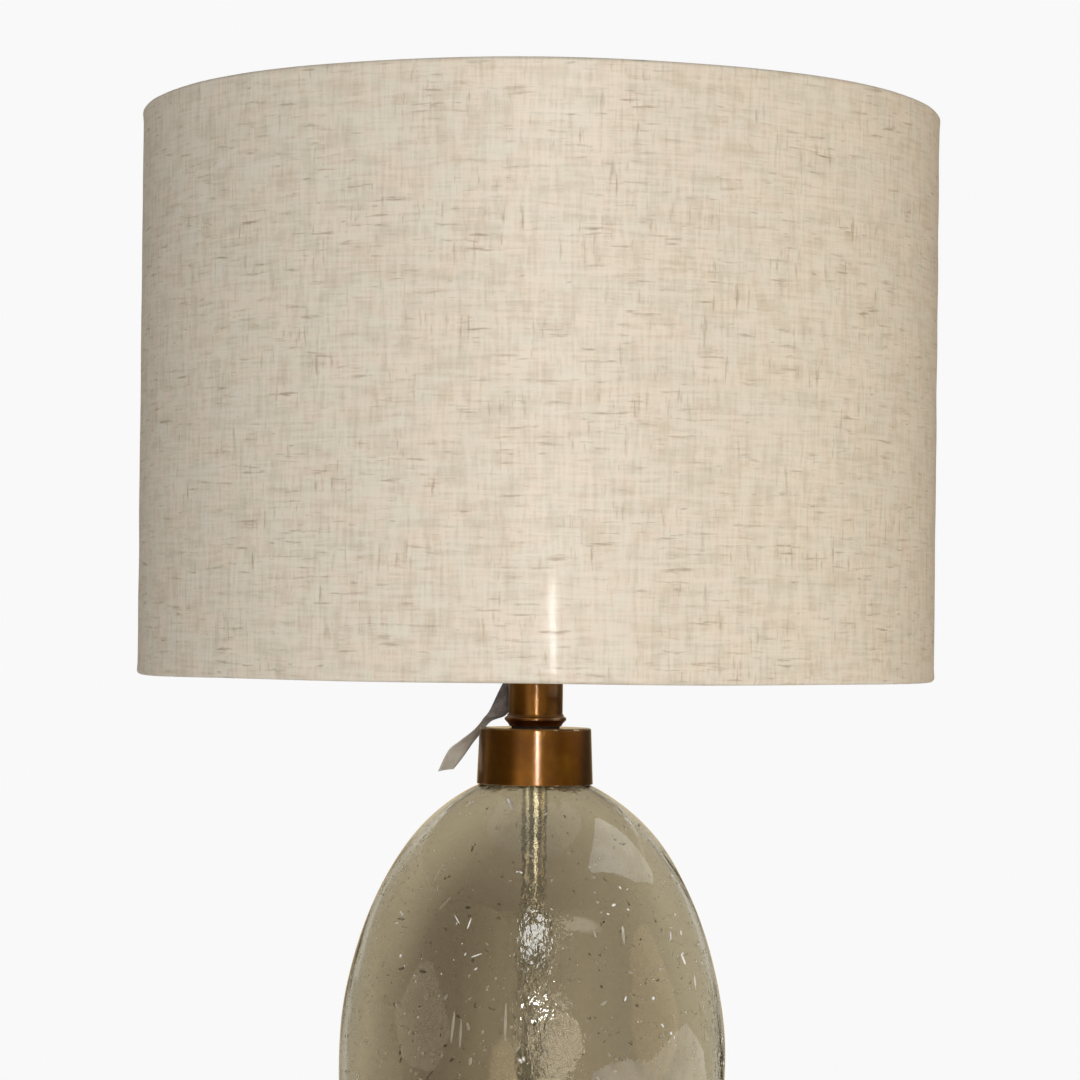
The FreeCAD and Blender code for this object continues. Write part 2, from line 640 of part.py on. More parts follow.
def shade_fabric():
    """The cloth: a drum wall whose edges roll in round the rim wires, notched where the arms come through."""
    inner = HEM_R - FABRIC_T
    wall_in = SHADE_R - FABRIC_T
    cloth = turned([
        line(xz(SHADE_R, RIM_BOTTOM_Z), xz(SHADE_R, RIM_TOP_Z)),
        arc_about(RIM_CENTRE_R, RIM_TOP_Z, HEM_R, 0, HEM_TURN),
        hem_end(RIM_TOP_Z, HEM_TURN, HEM_R, inner),
        arc_about(RIM_CENTRE_R, RIM_TOP_Z, inner, HEM_TURN, 0),
        line(xz(wall_in, RIM_TOP_Z), xz(wall_in, RIM_BOTTOM_Z)),
        arc_about(RIM_CENTRE_R, RIM_BOTTOM_Z, inner, 0, -HEM_TURN),
        hem_end(RIM_BOTTOM_Z, -HEM_TURN, inner, HEM_R),
        arc_about(RIM_CENTRE_R, RIM_BOTTOM_Z, HEM_R, -HEM_TURN, 0),
    ])
    for angle in arm_angles():
        cloth = cloth.cut(swept(spider_arm_path(angle), SPIDER_WIRE_R + EASE))
    return cloth


def hem_end(centre_z, angle, from_r, to_r):
    """The cut end of the rolled edge."""
    turn = math.radians(angle)
    def at(radius):
        return xz(RIM_CENTRE_R + radius * math.cos(turn), centre_z + radius * math.sin(turn))
    return line(at(from_r), at(to_r))


def shade_liner():
    return ring(LINER_R, LINER_R - LINER_T, RIM_BOTTOM_Z + HEM_R, RIM_TOP_Z - HEM_R)


def shade_seam():
    """Glued overlap of the liner, inside at the back."""
    outer_r = LINER_R - LINER_T - SEAT_GAP
    low_z, high_z = RIM_BOTTOM_Z + 2 * HEM_R, RIM_TOP_Z - 2 * HEM_R
    whole = ring(outer_r, outer_r - SEAM_T, low_z, high_z)
    strip = Part.makeBox(SEAM_W, SHADE_R, SHADE_HEIGHT, Vector(-SEAM_W / 2, 0, low_z))
    return whole.common(strip)


def rim_wire(centre_z):
    return Part.makeTorus(RIM_CENTRE_R, RIM_WIRE_R, Vector(0, 0, centre_z))


def spider_arms():
    return Part.makeCompound([swept(spider_arm_path(a), SPIDER_WIRE_R) for a in arm_angles()])


def spider_hub():
    return ring(HUB_R, HUB_BORE_R, SEAT_Z, HUB_TOP_Z)


# ================================================================ finial
def finial_base():
    """Threaded ferrule that clamps the hub on the seat."""
    return turned_points([
        (FINIAL_BORE_R, HUB_TOP_Z), (FINIAL_BASE_R, HUB_TOP_Z),
        (FINIAL_BASE_R, HUB_TOP_Z + FINIAL_RIM_H),
        (FINIAL_WAIST_R, HUB_TOP_Z + FINIAL_BASE_H), (FINIAL_BORE_R, HUB_TOP_Z + FINIAL_BASE_H),
    ])


def finial_knob():
    """Ball on a short waist, bored from below for the stud."""
    foot_z = HUB_TOP_Z + FINIAL_BASE_H
    ball_z = foot_z + FINIAL_BALL_R
    ball = Part.makeSphere(FINIAL_BALL_R, Vector(0, 0, ball_z))
    waist = disc(FINIAL_WAIST_R, foot_z, ball_z)
    below = disc(2 * FINIAL_BALL_R, foot_z - FINIAL_BALL_R, foot_z)
    knob = ball.fuse(waist).cut(below)
    return knob.cut(disc(FINIAL_BORE_R, foot_z, foot_z + FINIAL_KNOB_BORE)).removeSplitter()


# ================================================================ socket
def socket_cap():
    """Lower half of the brass socket: a threaded hub that opens into a bell."""
    hub_top_z, rim_z = SOCKET_Z + SOCKET_HUB_H, SOCKET_Z + SOCKET_CAP_H
    hub_ceiling_z = hub_top_z + SOCKET_CAP_WALL
    bore_r, inner_r = ROD_R + EASE, SOCKET_CAP_R - SOCKET_CAP_WALL
    cap = turned_points([
        (bore_r, SOCKET_Z), (SOCKET_HUB_R, SOCKET_Z), (SOCKET_HUB_R, hub_top_z),
        (SOCKET_CAP_R - BELL_CHAMFER, SOCKET_Z + BELL_Z - SOCKET_CAP_WALL), (SOCKET_CAP_R, bell_wall_z()),
        (SOCKET_CAP_R, rim_z), (inner_r, rim_z), (inner_r, bell_wall_z()),
        (inner_r - BELL_CHAMFER, SOCKET_Z + BELL_Z), (SOCKET_HUB_R, hub_ceiling_z), (bore_r, hub_ceiling_z),
    ])
    screw_hole = rod_along(Vector(0, 1, 0), SET_SCREW_R + EASE, Vector(0, ROD_R, set_screw_z()), SOCKET_HUB_R)
    return cap.cut(screw_hole)


def bell_wall_z():
    """Where the bell's straight wall starts, above its chamfer."""
    return SOCKET_Z + BELL_Z - SOCKET_CAP_WALL + BELL_CHAMFER


def set_screw_z():
    return SOCKET_Z + SOCKET_HUB_H / 2


def socket_set_screw():
    start_y = ROD_R + EASE
    length = SOCKET_HUB_R + SET_SCREW_PROUD - start_y
    return rod_along(Vector(0, 1, 0), SET_SCREW_R, Vector(0, start_y, set_screw_z()), length)


def shaft_hole(radius):
    return rod_along(Vector(0, -1, 0), radius, Vector(0, SHAFT_INNER_Y, SOCKET_Z + SWITCH_Z), SOCKET_CAP_R)


def socket_shell():
    low_z = SOCKET_Z + SOCKET_SHELL_Z
    shell = ring(SHELL_R, SHELL_R - SOCKET_SHELL_WALL, low_z, low_z + SOCKET_SHELL_H)
    return shell.cut(shaft_hole(SHAFT_R + SLOT_EASE))


def socket_sleeve():
    """Card sleeve that insulates the screw shell from the brass."""
    outer_r = SHELL_R - SOCKET_SHELL_WALL - EASE
    low_z = SOCKET_Z + SOCKET_SHELL_Z + SLEEVE_CARD_PROUD
    sleeve = ring(outer_r, outer_r - SLEEVE_CARD_T, low_z, low_z + SOCKET_SHELL_H)
    return sleeve.cut(shaft_hole(SHAFT_R + SLOT_EASE))


def bell_floor_z(radius):
    """Height of the bell's sloping floor inside, where the core and its sleeve stand."""
    slope_start_r = SOCKET_CAP_R - SOCKET_CAP_WALL - BELL_CHAMFER
    slope_rise = bell_wall_z() - SOCKET_Z - BELL_Z
    return SOCKET_Z + BELL_Z + slope_rise * (radius - slope_start_r) / BELL_CHAMFER


def core_radius():
    return SHELL_R - SOCKET_SHELL_WALL - SLEEVE_CARD_T - 2 * EASE


def socket_core():
    """Moulded core with two flats for the terminals and a cross bore for the switch's shaft."""
    low_z = bell_floor_z(core_radius()) + EASE
    core = disc(core_radius(), low_z, CONTACT_Z)
    width, flat_h = 2 * SOCKET_CAP_R, CONTACT_Z - CORE_HEAD_H - low_z
    for x in (CORE_FLAT_X, -CORE_FLAT_X - width):
        core = core.cut(Part.makeBox(width, width, flat_h, Vector(x, -width / 2, low_z)))
    core = core.cut(shaft_hole(SHAFT_R + RUNNING))
    for side in (-1, 1):
        way, start = Vector(side, 0, 0), terminal_start(side)
        core = core.cut(rod_along(way, TERMINAL_SHANK_R + EASE, start, TERMINAL_SHANK_L))
    return core


def terminal_start(side):
    return Vector(side * (CORE_FLAT_X - TERMINAL_SHANK_L), 0, SOCKET_Z + TERMINAL_Z)


def terminal_screws():
    screws = []
    for side in (-1, 1):
        way = Vector(side, 0, 0)
        start = terminal_start(side)
        shank = rod_along(way, TERMINAL_SHANK_R, start, TERMINAL_SHANK_L)
        head = rod_along(way, TERMINAL_HEAD_R, start + way * TERMINAL_SHANK_L, TERMINAL_HEAD_T)
        screws.append(shank.fuse(head).removeSplitter())
    return Part.makeCompound(screws)


def screw_shell():
    """Brass sleeve that the bulb's base turns in, with an inward lip at its foot."""
    inner_r = SCREW_SHELL_R - SCREW_SHELL_WALL
    lip_top_z, rim_z = CONTACT_Z + SCREW_SHELL_WALL, CONTACT_Z + SCREW_SHELL_H
    return turned_points([
        (SCREW_SHELL_LIP_R, CONTACT_Z), (SCREW_SHELL_R, CONTACT_Z), (SCREW_SHELL_R, rim_z),
        (inner_r, rim_z), (inner_r, lip_top_z), (SCREW_SHELL_LIP_R, lip_top_z),
    ])


def centre_contact():
    """Springy brass tab under the bulb's tip: a foot, a leg and a tongue."""
    low_y, thick = -CONTACT_W / 2, SCREW_SHELL_WALL
    foot_l = CONTACT_FOOT_X - BULB_TIP_R + thick
    foot = Part.makeBox(foot_l, CONTACT_W, thick, Vector(-CONTACT_FOOT_X, low_y, CONTACT_Z))
    leg = Part.makeBox(thick, CONTACT_W, CONTACT_H, Vector(-BULB_TIP_R, low_y, CONTACT_Z))
    tongue_z = CONTACT_Z + CONTACT_H - thick
    tongue = Part.makeBox(2 * BULB_TIP_R, CONTACT_W, thick, Vector(-BULB_TIP_R, low_y, tongue_z))
    return foot.fuse(leg).fuse(tongue).removeSplitter()


def switch_shaft():
    """From inside the core out through the socket's wall into the knob."""
    length = SHELL_R + KNOB_GAP + KNOB_BORE_L + SHAFT_INNER_Y
    return rod_along(Vector(0, -1, 0), SHAFT_R, Vector(0, SHAFT_INNER_Y, SOCKET_Z + SWITCH_Z), length)


def switch_knob():
    """Fluted turn knob."""
    start_y = -SHELL_R - KNOB_GAP
    z = SOCKET_Z + SWITCH_Z
    out = Vector(0, -1, 0)
    knob = rod_along(out, KNOB_R, Vector(0, start_y, z), KNOB_L)
    for k in range(KNOB_FLUTES):
        turn = 2 * math.pi * k / KNOB_FLUTES
        centre = Vector(KNOB_R * math.cos(turn), start_y - KNOB_COLLAR_L, z + KNOB_R * math.sin(turn))
        knob = knob.cut(rod_along(out, KNOB_FLUTE_R, centre, KNOB_L))
    blind = rod_along(out, SHAFT_R + RUNNING, Vector(0, start_y, z), KNOB_BORE_L)
    return knob.cut(blind)


# ================================================================ bulb
def bulb_tip():
    return disc(BULB_TIP_R, BULB_TIP_Z, BULB_INSULATOR_Z)


def bulb_insulator():
    return turned_points([
        (0, BULB_INSULATOR_Z), (BULB_TIP_R + BULB_TIP_COLLAR, BULB_INSULATOR_Z),
        (BULB_INSULATOR_R, BULB_BASE_Z), (0, BULB_BASE_Z),
    ])


def bulb_base():
    """Thin metal cup with a closed foot that carries the insulator."""
    inner_r, top_z = BULB_BASE_R - BULB_BASE_WALL, BULB_BASE_Z + BULB_BASE_H
    floor_z = BULB_BASE_Z + BULB_BASE_ROUND
    return turned_points([
        (0, BULB_BASE_Z), (BULB_INSULATOR_R, BULB_BASE_Z), (BULB_BASE_R, floor_z), (BULB_BASE_R, top_z),
        (inner_r, top_z), (inner_r, floor_z + BULB_BASE_WALL), (0, floor_z + BULB_BASE_WALL),
    ])


def bulb_outline(inset):
    """The bulb's side, moved inwards by a wall's thickness: a neck, a hollow curve and a ball."""
    neck_r, ball_r, curve_r = BULB_NECK_R - inset, BULB_R - inset, BULB_NECK_CURVE + inset
    rise = math.sqrt((curve_r + ball_r) ** 2 - (neck_r + curve_r) ** 2)
    curve_z = BULB_MID_Z - rise
    lean = math.atan2(rise, neck_r + curve_r)
    lean_deg = math.degrees(lean)
    foot, crown = xz(neck_r, BULB_NECK_Z), xz(0, BULB_MID_Z + ball_r)
    side = [
        line(foot, xz(neck_r, curve_z)),
        arc_about(neck_r + curve_r, curve_z, curve_r, 180, 180 - lean_deg),
        arc_about(0, BULB_MID_Z, ball_r, -lean_deg, 90),
    ]
    return foot, side, crown


def bulb_glass():
    outer_foot, outer_side, outer_crown = bulb_outline(0)
    inner_foot, inner_side, inner_crown = bulb_outline(BULB_WALL)
    crown, foot = line(outer_crown, inner_crown), line(inner_foot, outer_foot)
    return turned(outer_side + [crown] + inner_side[::-1] + [foot])


def bulb_stem():
    """Glass mount inside the bulb, from the base's floor up its neck."""
    foot_z = BULB_BASE_Z + BULB_BASE_ROUND + BULB_BASE_WALL
    top_z = BULB_MID_Z - BULB_R
    return turned_points([
        (0, foot_z), (STEM_FOOT_R, foot_z), (STEM_WAIST_R, foot_z + BULB_BASE_H),
        (STEM_TOP_R, top_z), (0, top_z),
    ])


def bulb_filament():
    """Two lead wires that spread from the stem and the filament between them."""
    low_z, high_z = BULB_MID_Z - BULB_R + FILAMENT_R, BULB_MID_Z
    path = rounded_path([
        Vector(-LEAD_FOOT_X, 0, low_z),
        Vector(-LEAD_SPREAD_X, 0, high_z),
        Vector(LEAD_SPREAD_X, 0, high_z),
        Vector(LEAD_FOOT_X, 0, low_z),
    ], share=0.15)
    return swept(path, FILAMENT_R)


# ================================================================ paper tag
def paper_tag():
    """A blank strip stuck round the neck, with its loose end twisting down past the cap's edge."""
    inner_r, band_z = NECK_R + EASE, CAP_TOP_Z + TAG_BAND_Z
    band = ring(inner_r + TAG_T, inner_r, band_z - TAG_W / 2, band_z + TAG_W / 2)
    neck_back = Vector(0, NECK_R, CAP_TOP_Z)
    cap_edge = neck_back - Vector(CAP_TOP_R, 0, 0)
    middles = [neck_back + Vector(*point) for point, _ in TAG_LEAVES_NECK]
    middles += [cap_edge + Vector(*point) for point, _ in TAG_OVER_EDGE]
    ways = [way for _, way in TAG_LEAVES_NECK + TAG_OVER_EDGE]
    sections = []
    for k, way in enumerate(ways):
        along = middles[min(k + 1, len(middles) - 1)] - middles[max(k - 1, 0)]
        across = Vector(*way)
        normal = across.cross(along)
        side = across * (TAG_W / 2 / across.Length)
        thick = normal * (TAG_T / 2 / normal.Length)
        m = middles[k]
        corners = [m + side + thick, m + side - thick, m - side - thick, m - side + thick]
        sections.append(Part.makePolygon(corners + corners[:1]))
    tail = Part.makeLoft(sections, True, True)
    return band.fuse(tail).cut(disc(inner_r, CAP_TOP_Z, NECK_TOP_Z))


PIECES = {
    "felt_pad": felt_pad,
    "foot_cover": foot_cover,
    "foot_shell": foot_shell,
    "foot_weight": foot_weight,
    "bottom_washer": bottom_washer,
    "bottom_nut": bottom_nut,
    "cord_bushing": cord_bushing,
    "base_cup": base_cup,
    "glass_foot_gasket": glass_foot_gasket,
    "rod_foot_ring": rod_foot_ring,
    "glass_body": glass_body,
    "rod_tube": rod_tube,
    "threaded_rod": threaded_rod,
    "neck_stopper": neck_stopper,
    "cap_gasket": cap_gasket,
    "neck_cap": neck_cap,
    "neck_washer": neck_washer,
    "neck_ring": neck_ring,
    "neck_tube": neck_tube,
    "harp_saddle": harp_saddle,
    "saddle_nut": saddle_nut,
    "harp_bow": harp_bow,
    "harp_seat": harp_seat,
    "harp_sleeve_left": lambda: harp_sleeve(-1),
    "harp_sleeve_right": lambda: harp_sleeve(1),
    "shade_fabric": shade_fabric,
    "shade_liner": shade_liner,
    "shade_seam": shade_seam,
    "shade_top_wire": lambda: rim_wire(RIM_TOP_Z),
    "shade_bottom_wire": lambda: rim_wire(RIM_BOTTOM_Z),
    "spider_arms": spider_arms,
    "spider_hub": spider_hub,
    "finial_base": finial_base,
    "finial_knob": finial_knob,
    "socket_cap": socket_cap,
    "socket_set_screw": socket_set_screw,
    "socket_shell": socket_shell,
    "socket_sleeve": socket_sleeve,
    "socket_core": socket_core,
    "terminal_screws": terminal_screws,
    "screw_shell": screw_shell,
    "centre_contact": centre_contact,
    "switch_shaft": switch_shaft,
    "switch_knob": switch_knob,
    "bulb_tip": bulb_tip,
    "bulb_insulator": bulb_insulator,
    "bulb_base": bulb_base,
    "bulb_glass": bulb_glass,
    "bulb_stem": bulb_stem,
    "bulb_filament": bulb_filament,
    "paper_tag": paper_tag,
}


def main():
    os.makedirs("parts", exist_ok=True)
    for name, make in PIECES.items():
        shape = make()
        solids = shape.Solids
        if not solids or not all(s.isValid() and s.Volume > 0 for s in solids):
            raise RuntimeError(name + " is not a valid solid")
        shape.exportStep("parts/" + name + ".step")
        box = shape.BoundBox
        print("%-18s solids %d  volume %10.1f mm3  z %7.2f to %7.2f" % (
            name, len(solids), shape.Volume, box.ZMin, box.ZMax))
    print("glass middle %.2f, cap top %.2f, neck top %.2f, socket %.2f" % (
        GLASS_MID_Z, CAP_TOP_Z, NECK_TOP_Z, SOCKET_Z))
    print("shade %.2f to %.2f, seat %.2f" % (SHADE_BOTTOM_Z, SHADE_TOP_Z, SEAT_Z))


main()
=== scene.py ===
"""Looks of the glass table lamp: its meshes, finishes, light and camera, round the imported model.

Metres, +Z up, and -Y is the front. Angles round the lamp's axis are in degrees from +X towards +Y, so that
270 is the front and 90 the back. Sizes that are written in millimetres are multiplied by MM.
"""

import json
import math

import bmesh
import bpy
import numpy as np
from mathutils import Matrix, Vector

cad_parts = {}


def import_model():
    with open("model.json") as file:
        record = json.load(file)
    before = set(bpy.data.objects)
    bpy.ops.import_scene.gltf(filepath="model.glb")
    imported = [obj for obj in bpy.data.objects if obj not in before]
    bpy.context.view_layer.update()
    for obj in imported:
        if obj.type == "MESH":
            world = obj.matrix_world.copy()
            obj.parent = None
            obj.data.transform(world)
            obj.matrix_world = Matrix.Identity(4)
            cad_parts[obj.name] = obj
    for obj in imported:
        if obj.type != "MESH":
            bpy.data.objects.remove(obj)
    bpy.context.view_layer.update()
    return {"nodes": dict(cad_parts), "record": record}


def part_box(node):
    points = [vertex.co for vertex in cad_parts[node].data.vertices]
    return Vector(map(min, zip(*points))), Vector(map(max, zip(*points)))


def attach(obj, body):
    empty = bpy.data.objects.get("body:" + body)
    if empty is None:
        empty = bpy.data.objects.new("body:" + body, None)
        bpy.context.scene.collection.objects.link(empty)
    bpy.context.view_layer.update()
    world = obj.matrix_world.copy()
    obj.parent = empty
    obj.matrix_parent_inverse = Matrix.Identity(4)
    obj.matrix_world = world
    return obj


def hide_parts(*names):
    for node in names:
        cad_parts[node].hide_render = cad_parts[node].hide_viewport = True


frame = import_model()

MM = 0.001
FULL_TURN = 2 * math.pi
BACK = 90.0

# ---------------------------------------------------------------- places, from the frame
SHADE_BOTTOM, SHADE_TOP = (corner.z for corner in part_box("shade_fabric"))
SHADE_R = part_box("shade_bottom_wire")[1].x + 0.85 * MM
GLASS_FOOT, GLASS_LIP = (corner.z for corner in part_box("glass_body"))
CAP_RIM, CAP_TOP = (corner.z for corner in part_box("neck_cap"))
RING_FOOT, RING_TOP = (corner.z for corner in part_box("neck_ring"))
NECK_FOOT, NECK_TOP = (corner.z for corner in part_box("neck_tube"))
CUP_FOOT, CUP_RIM = (corner.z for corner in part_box("base_cup"))
KNOB_FOOT, KNOB_TOP = (corner.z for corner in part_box("finial_knob"))
FERRULE_FOOT, FERRULE_TOP = (corner.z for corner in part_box("finial_base"))
BULB_BASE_FOOT, BULB_BASE_TOP = (corner.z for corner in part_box("bulb_base"))

# ---------------------------------------------------------------- sizes
ROD_HOLE_R = 5.2 * MM
NECK_R = 13.95 * MM
NECK_INNER_R = 12.75 * MM
CAP_TOP_R = 28.7 * MM
GLASS_R = 99.2 * MM
GLASS_HALF_H = 150.9 * MM
GLASS_WALL = 3.5 * MM
GLASS_FOOT_R = 40.0 * MM
GLASS_NECK_R = 22.0 * MM
GLASS_NECK_WALL = 3.0 * MM
GLASS_MIDDLE = GLASS_FOOT + GLASS_HALF_H * math.sqrt(1 - (GLASS_FOOT_R / GLASS_R) ** 2)
WALL_WAVES = 0.42 * MM         # of the whole wall, whose two sides wave together
INNER_WAVES = 0.06 * MM        # of its inside alone, long and short
INNER_RIPPLES = 0.02 * MM
SEED_COUNT = 2800
CRUMPLE_SQUEEZE = 0.35         # heights shrink by this, so that the crinkled patch at the front is a tall one
CRUMPLE_AT = (0.001, -0.090, CRUMPLE_SQUEEZE * 0.222)

CLOTH_T = 0.6 * MM
CLOTH_OVERLAP = 12.0 * MM      # the cloth's glued ends, at the back
HEM_R = 2.1 * MM               # outside of the edge that rolls round the rim wire
HEM_PROUD = 0.3 * MM           # the rolled edge stands this far out of the wall
HEM_TURN = 215.0
ARM_ANGLES = [90.0, 210.0, 330.0]

# ---------------------------------------------------------------- camera, fitted to the photograph's outlines
PHOTO_PX = 1080
FOCAL_PX = 3491
PRINCIPAL_PX = (536.4, 630.0)
CAMERA_DISTANCE = 1.793
CAMERA_ABOVE_SHADE_BOTTOM = 25.7 * MM
CAMERA_PITCH = 0.04            # degrees down
CAMERA_ROLL = 0.59
SENSOR = 36.0

# ---------------------------------------------------------------- studio
PALE = (0.947, 0.947, 0.947, 1.0)
AMBIENT = 0.33                 # what the world gives to diffuse surfaces
FLOOR_R = 12.0
FLOOR_TONE = (0.86, 0.86, 0.86, 1.0)
FLOOR_GLOW = 0.75              # share of the floor's paleness that is its own, so that a soft shadow stays
FLOOR_FADE = (0.45, 1.05)      # between these distances from the lamp that share grows to 1
AIM = Vector((0, 0, 0.34))     # what the softboxes look at
FLASH = Vector((0.146, -1.793, 0.393))
FLASH_AIM = Vector((0, 0, 0.38))
FLASH_SIZE = (0.034, 0.040)
FLASH_RADIANCE = 330.0
ROOM_R = 0.9
ROOM_TINT = (1.0, 0.77, 0.42, 1.0)
# The dim room that only mirror-like surfaces show: azimuth, where 0 is at the camera and 90 to its right,
# and level.
ROOM = [
    (-180, 0.90), (-166, 0.50), (-150, 0.12), (-134, 0.06), (-125, 0.10), (-114, 0.26), (-100, 0.06),
    (-80, 0.05), (-50, 0.07), (-40, 0.40), (-28, 0.98), (-13, 0.74), (-3, 0.55), (14, 0.42), (30, 0.48),
    (46, 0.20), (58, 0.04), (100, 0.03), (150, 0.10), (166, 0.50), (180, 0.90),
]
# Bright things in it: azimuth, height, half width in degrees, half height, level, colour.
ROOM_LIGHTS = [
    (4.0, 0.400, 2.0, 0.040, 84.0, (1.0, 1.0, 1.0, 1.0)),
    (2.0, 0.86, 9.0, 0.22, 12.0, (0.94, 0.98, 1.0, 1.0)),
    (33.0, 0.84, 20.0, 0.07, 2.4, (1.0, 0.94, 0.80, 1.0)),
]
# A ceiling and pale cards that only mirror-like surfaces show. The high card lies under the shade's right,
# with its corners as x, y and round; the low one stands round the right, with its corners as azimuth in
# degrees, height and round. A glow is the level at the first corner, the level far from it, and how far.
CEILING_Z = 1.6
CEILING_GLOW = (0.38, 0.38, 1.0)
HIGH_CARD_Z = 0.352
HIGH_CARD = [
    (0.088, -0.098, 0.012), (0.166, -0.050, 0.020), (0.224, 0.046, 0.010), (0.204, 0.084, 0.010),
    (0.066, -0.006, 0.010),
]
HIGH_CARD_GLOW = (2.5, 0.9, 0.22)
LOW_CARD_R = 0.40
LOW_CARD = [
    (30, 0.050, 0.02), (114, 0.050, 0.02), (110, 0.150, 0.02), (90, 0.214, 0.02), (52, 0.198, 0.02),
    (31, 0.150, 0.02),
]
LOW_CARD_GLOW = (2.0, 1.1, 0.36)


# ================================================================ outlines and meshes
def rounded(corners, run=4 * MM, steps=5):
    """A closed outline of (r, z, wear) rows from (r, z, round) corners, with a wear of 1 on outer corners."""
    points = [Vector((r, z)) for r, z, _ in corners]
    if sum(a.cross(b) for a, b in zip(points, points[1:] + points[:1])) < 0:
        return rounded(corners[::-1], run, steps)
    rows = []
    for k, (_, _, radius) in enumerate(corners):
        here = points[k]
        back = (points[k - 1] - here).normalized()
        ahead = (points[(k + 1) % len(points)] - here).normalized()
        if radius == 0:
            rows.append((here.x, here.y, 0.0))
            continue
        half_turn = (math.pi - back.angle(ahead)) / 2
        centre = here + (back + ahead).normalized() * (radius / math.cos(half_turn))
        first = here + back * (radius * math.tan(half_turn)) - centre
        turn = 2 * half_turn * (1 if ahead.cross(back) > 0 else -1)
        for j in range(steps + 1):
            spoke = Matrix.Rotation(turn * j / steps, 2) @ first
            wear = math.sin(math.pi * j / steps) if turn > 0 else 0.0
            rows.append((centre.x + spoke.x, centre.y + spoke.y, wear))
    return divided(rows, run)


def divided(rows, run, support=0.3 * MM):
    """Adds points to long runs: one near each end, which keeps the corners' shading, and the rest evenly."""
    result = []
    for a, b in zip(rows, rows[1:] + rows[:1]):
        result.append(a)
        length = math.dist(a[:2], b[:2])
        if length > 4 * support:
            inner = max(1, round(length / run))
            shares = [support / length + (1 - 2 * support / length) * j / inner for j in range(inner + 1)]
            result += [(a[0] + (b[0] - a[0]) * s, a[1] + (b[1] - a[1]) * s, 0.0) for s in shares]
    return result


def lathe(rows, segments, warp=None):
    """Vertices, quads and wear of a closed outline that is turned round the axis."""
    rows = np.array(rows)
    turn = (np.arange(segments) * FULL_TURN / segments)[:, None]
    r, z = np.broadcast_arrays(rows[None, :, 0], turn * 0 + rows[None, :, 1])
    if warp:
        r, z = warp(r, z, turn)
    verts = np.stack([r * np.cos(turn), r * np.sin(turn), z], 2).reshape(-1, 3)
    wear = np.tile(rows[:, 2], segments)
    return verts, grid_faces(segments, len(rows), True, True), wear


def grid_faces(columns, rows, close_columns, close_rows):
    """Quads of a grid whose vertices are numbered column by column."""
    column = np.arange(columns if close_columns else columns - 1)
    row = np.arange(rows if close_rows else rows - 1)
    c, r = (a.ravel() for a in np.meshgrid(column, row, indexing="ij"))
    next_c, next_r = (c + 1) % columns, (r + 1) % rows
    return np.stack([c * rows + r, next_c * rows + r, next_c * rows + next_r, c * rows + next_r], 1)


def ripples(seed, count, around, along, turn, z):
    """A smooth random field of about -1 to 1, of waves: around in periods a turn, along in radians a metre."""
    pick = np.random.default_rng(seed)
    field = 0.0
    for _ in range(count):
        whole = pick.integers(0, around + 1)
        rate = pick.uniform(-along, along)
        field = field + np.cos(whole * turn + rate * z + pick.uniform(0, FULL_TURN))
    return field / math.sqrt(count)


def placed(name, data):
    """A new object in the scene."""
    made = bpy.data.objects.new(name, data)
    bpy.context.scene.collection.objects.link(made)
    return made


def new_piece(name, verts, faces, body, slot, replaced=(), wear=None, place=None, seed=None):
    """A smooth-shaded mesh that rides on a body, has a slot's finish and stands for CAD nodes."""
    mesh = bpy.data.meshes.new(name)
    mesh.from_pydata(np.asarray(verts).tolist(), [], [list(map(int, f)) for f in faces])
    for kind, values in (("wear", wear), ("seed", seed)):
        if values is not None:
            flat = np.asarray(values, np.float32)
            mesh.attributes.new(kind, "FLOAT", "POINT").data.foreach_set("value", flat)
    if place is not None:
        flat = np.asarray(place, np.float32).ravel()
        mesh.attributes.new("place", "FLOAT_VECTOR", "POINT").data.foreach_set("vector", flat)
    weld(mesh)
    mesh.shade_smooth()
    mesh.materials.append(FINISHES[slot])
    piece = placed(name, mesh)
    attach(piece, body)
    if replaced:
        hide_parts(*replaced)
    return piece


def weld(mesh, within=1e-6):
    """Joins the vertices that lie together, as at a pole on the axis, and drops the faces that this empties."""
    work = bmesh.new()
    work.from_mesh(mesh)
    bmesh.ops.remove_doubles(work, verts=work.verts, dist=within)
    work.to_mesh(mesh)
    work.free()


def turned(name, corners, body, slot, replaced=(), segments=128, warp=None):
    """A turned piece from its (r, z, round) corners."""
    verts, faces, wear = lathe(rounded(corners), segments, warp)
    return new_piece(name, verts, faces, body, slot, replaced, wear=wear)


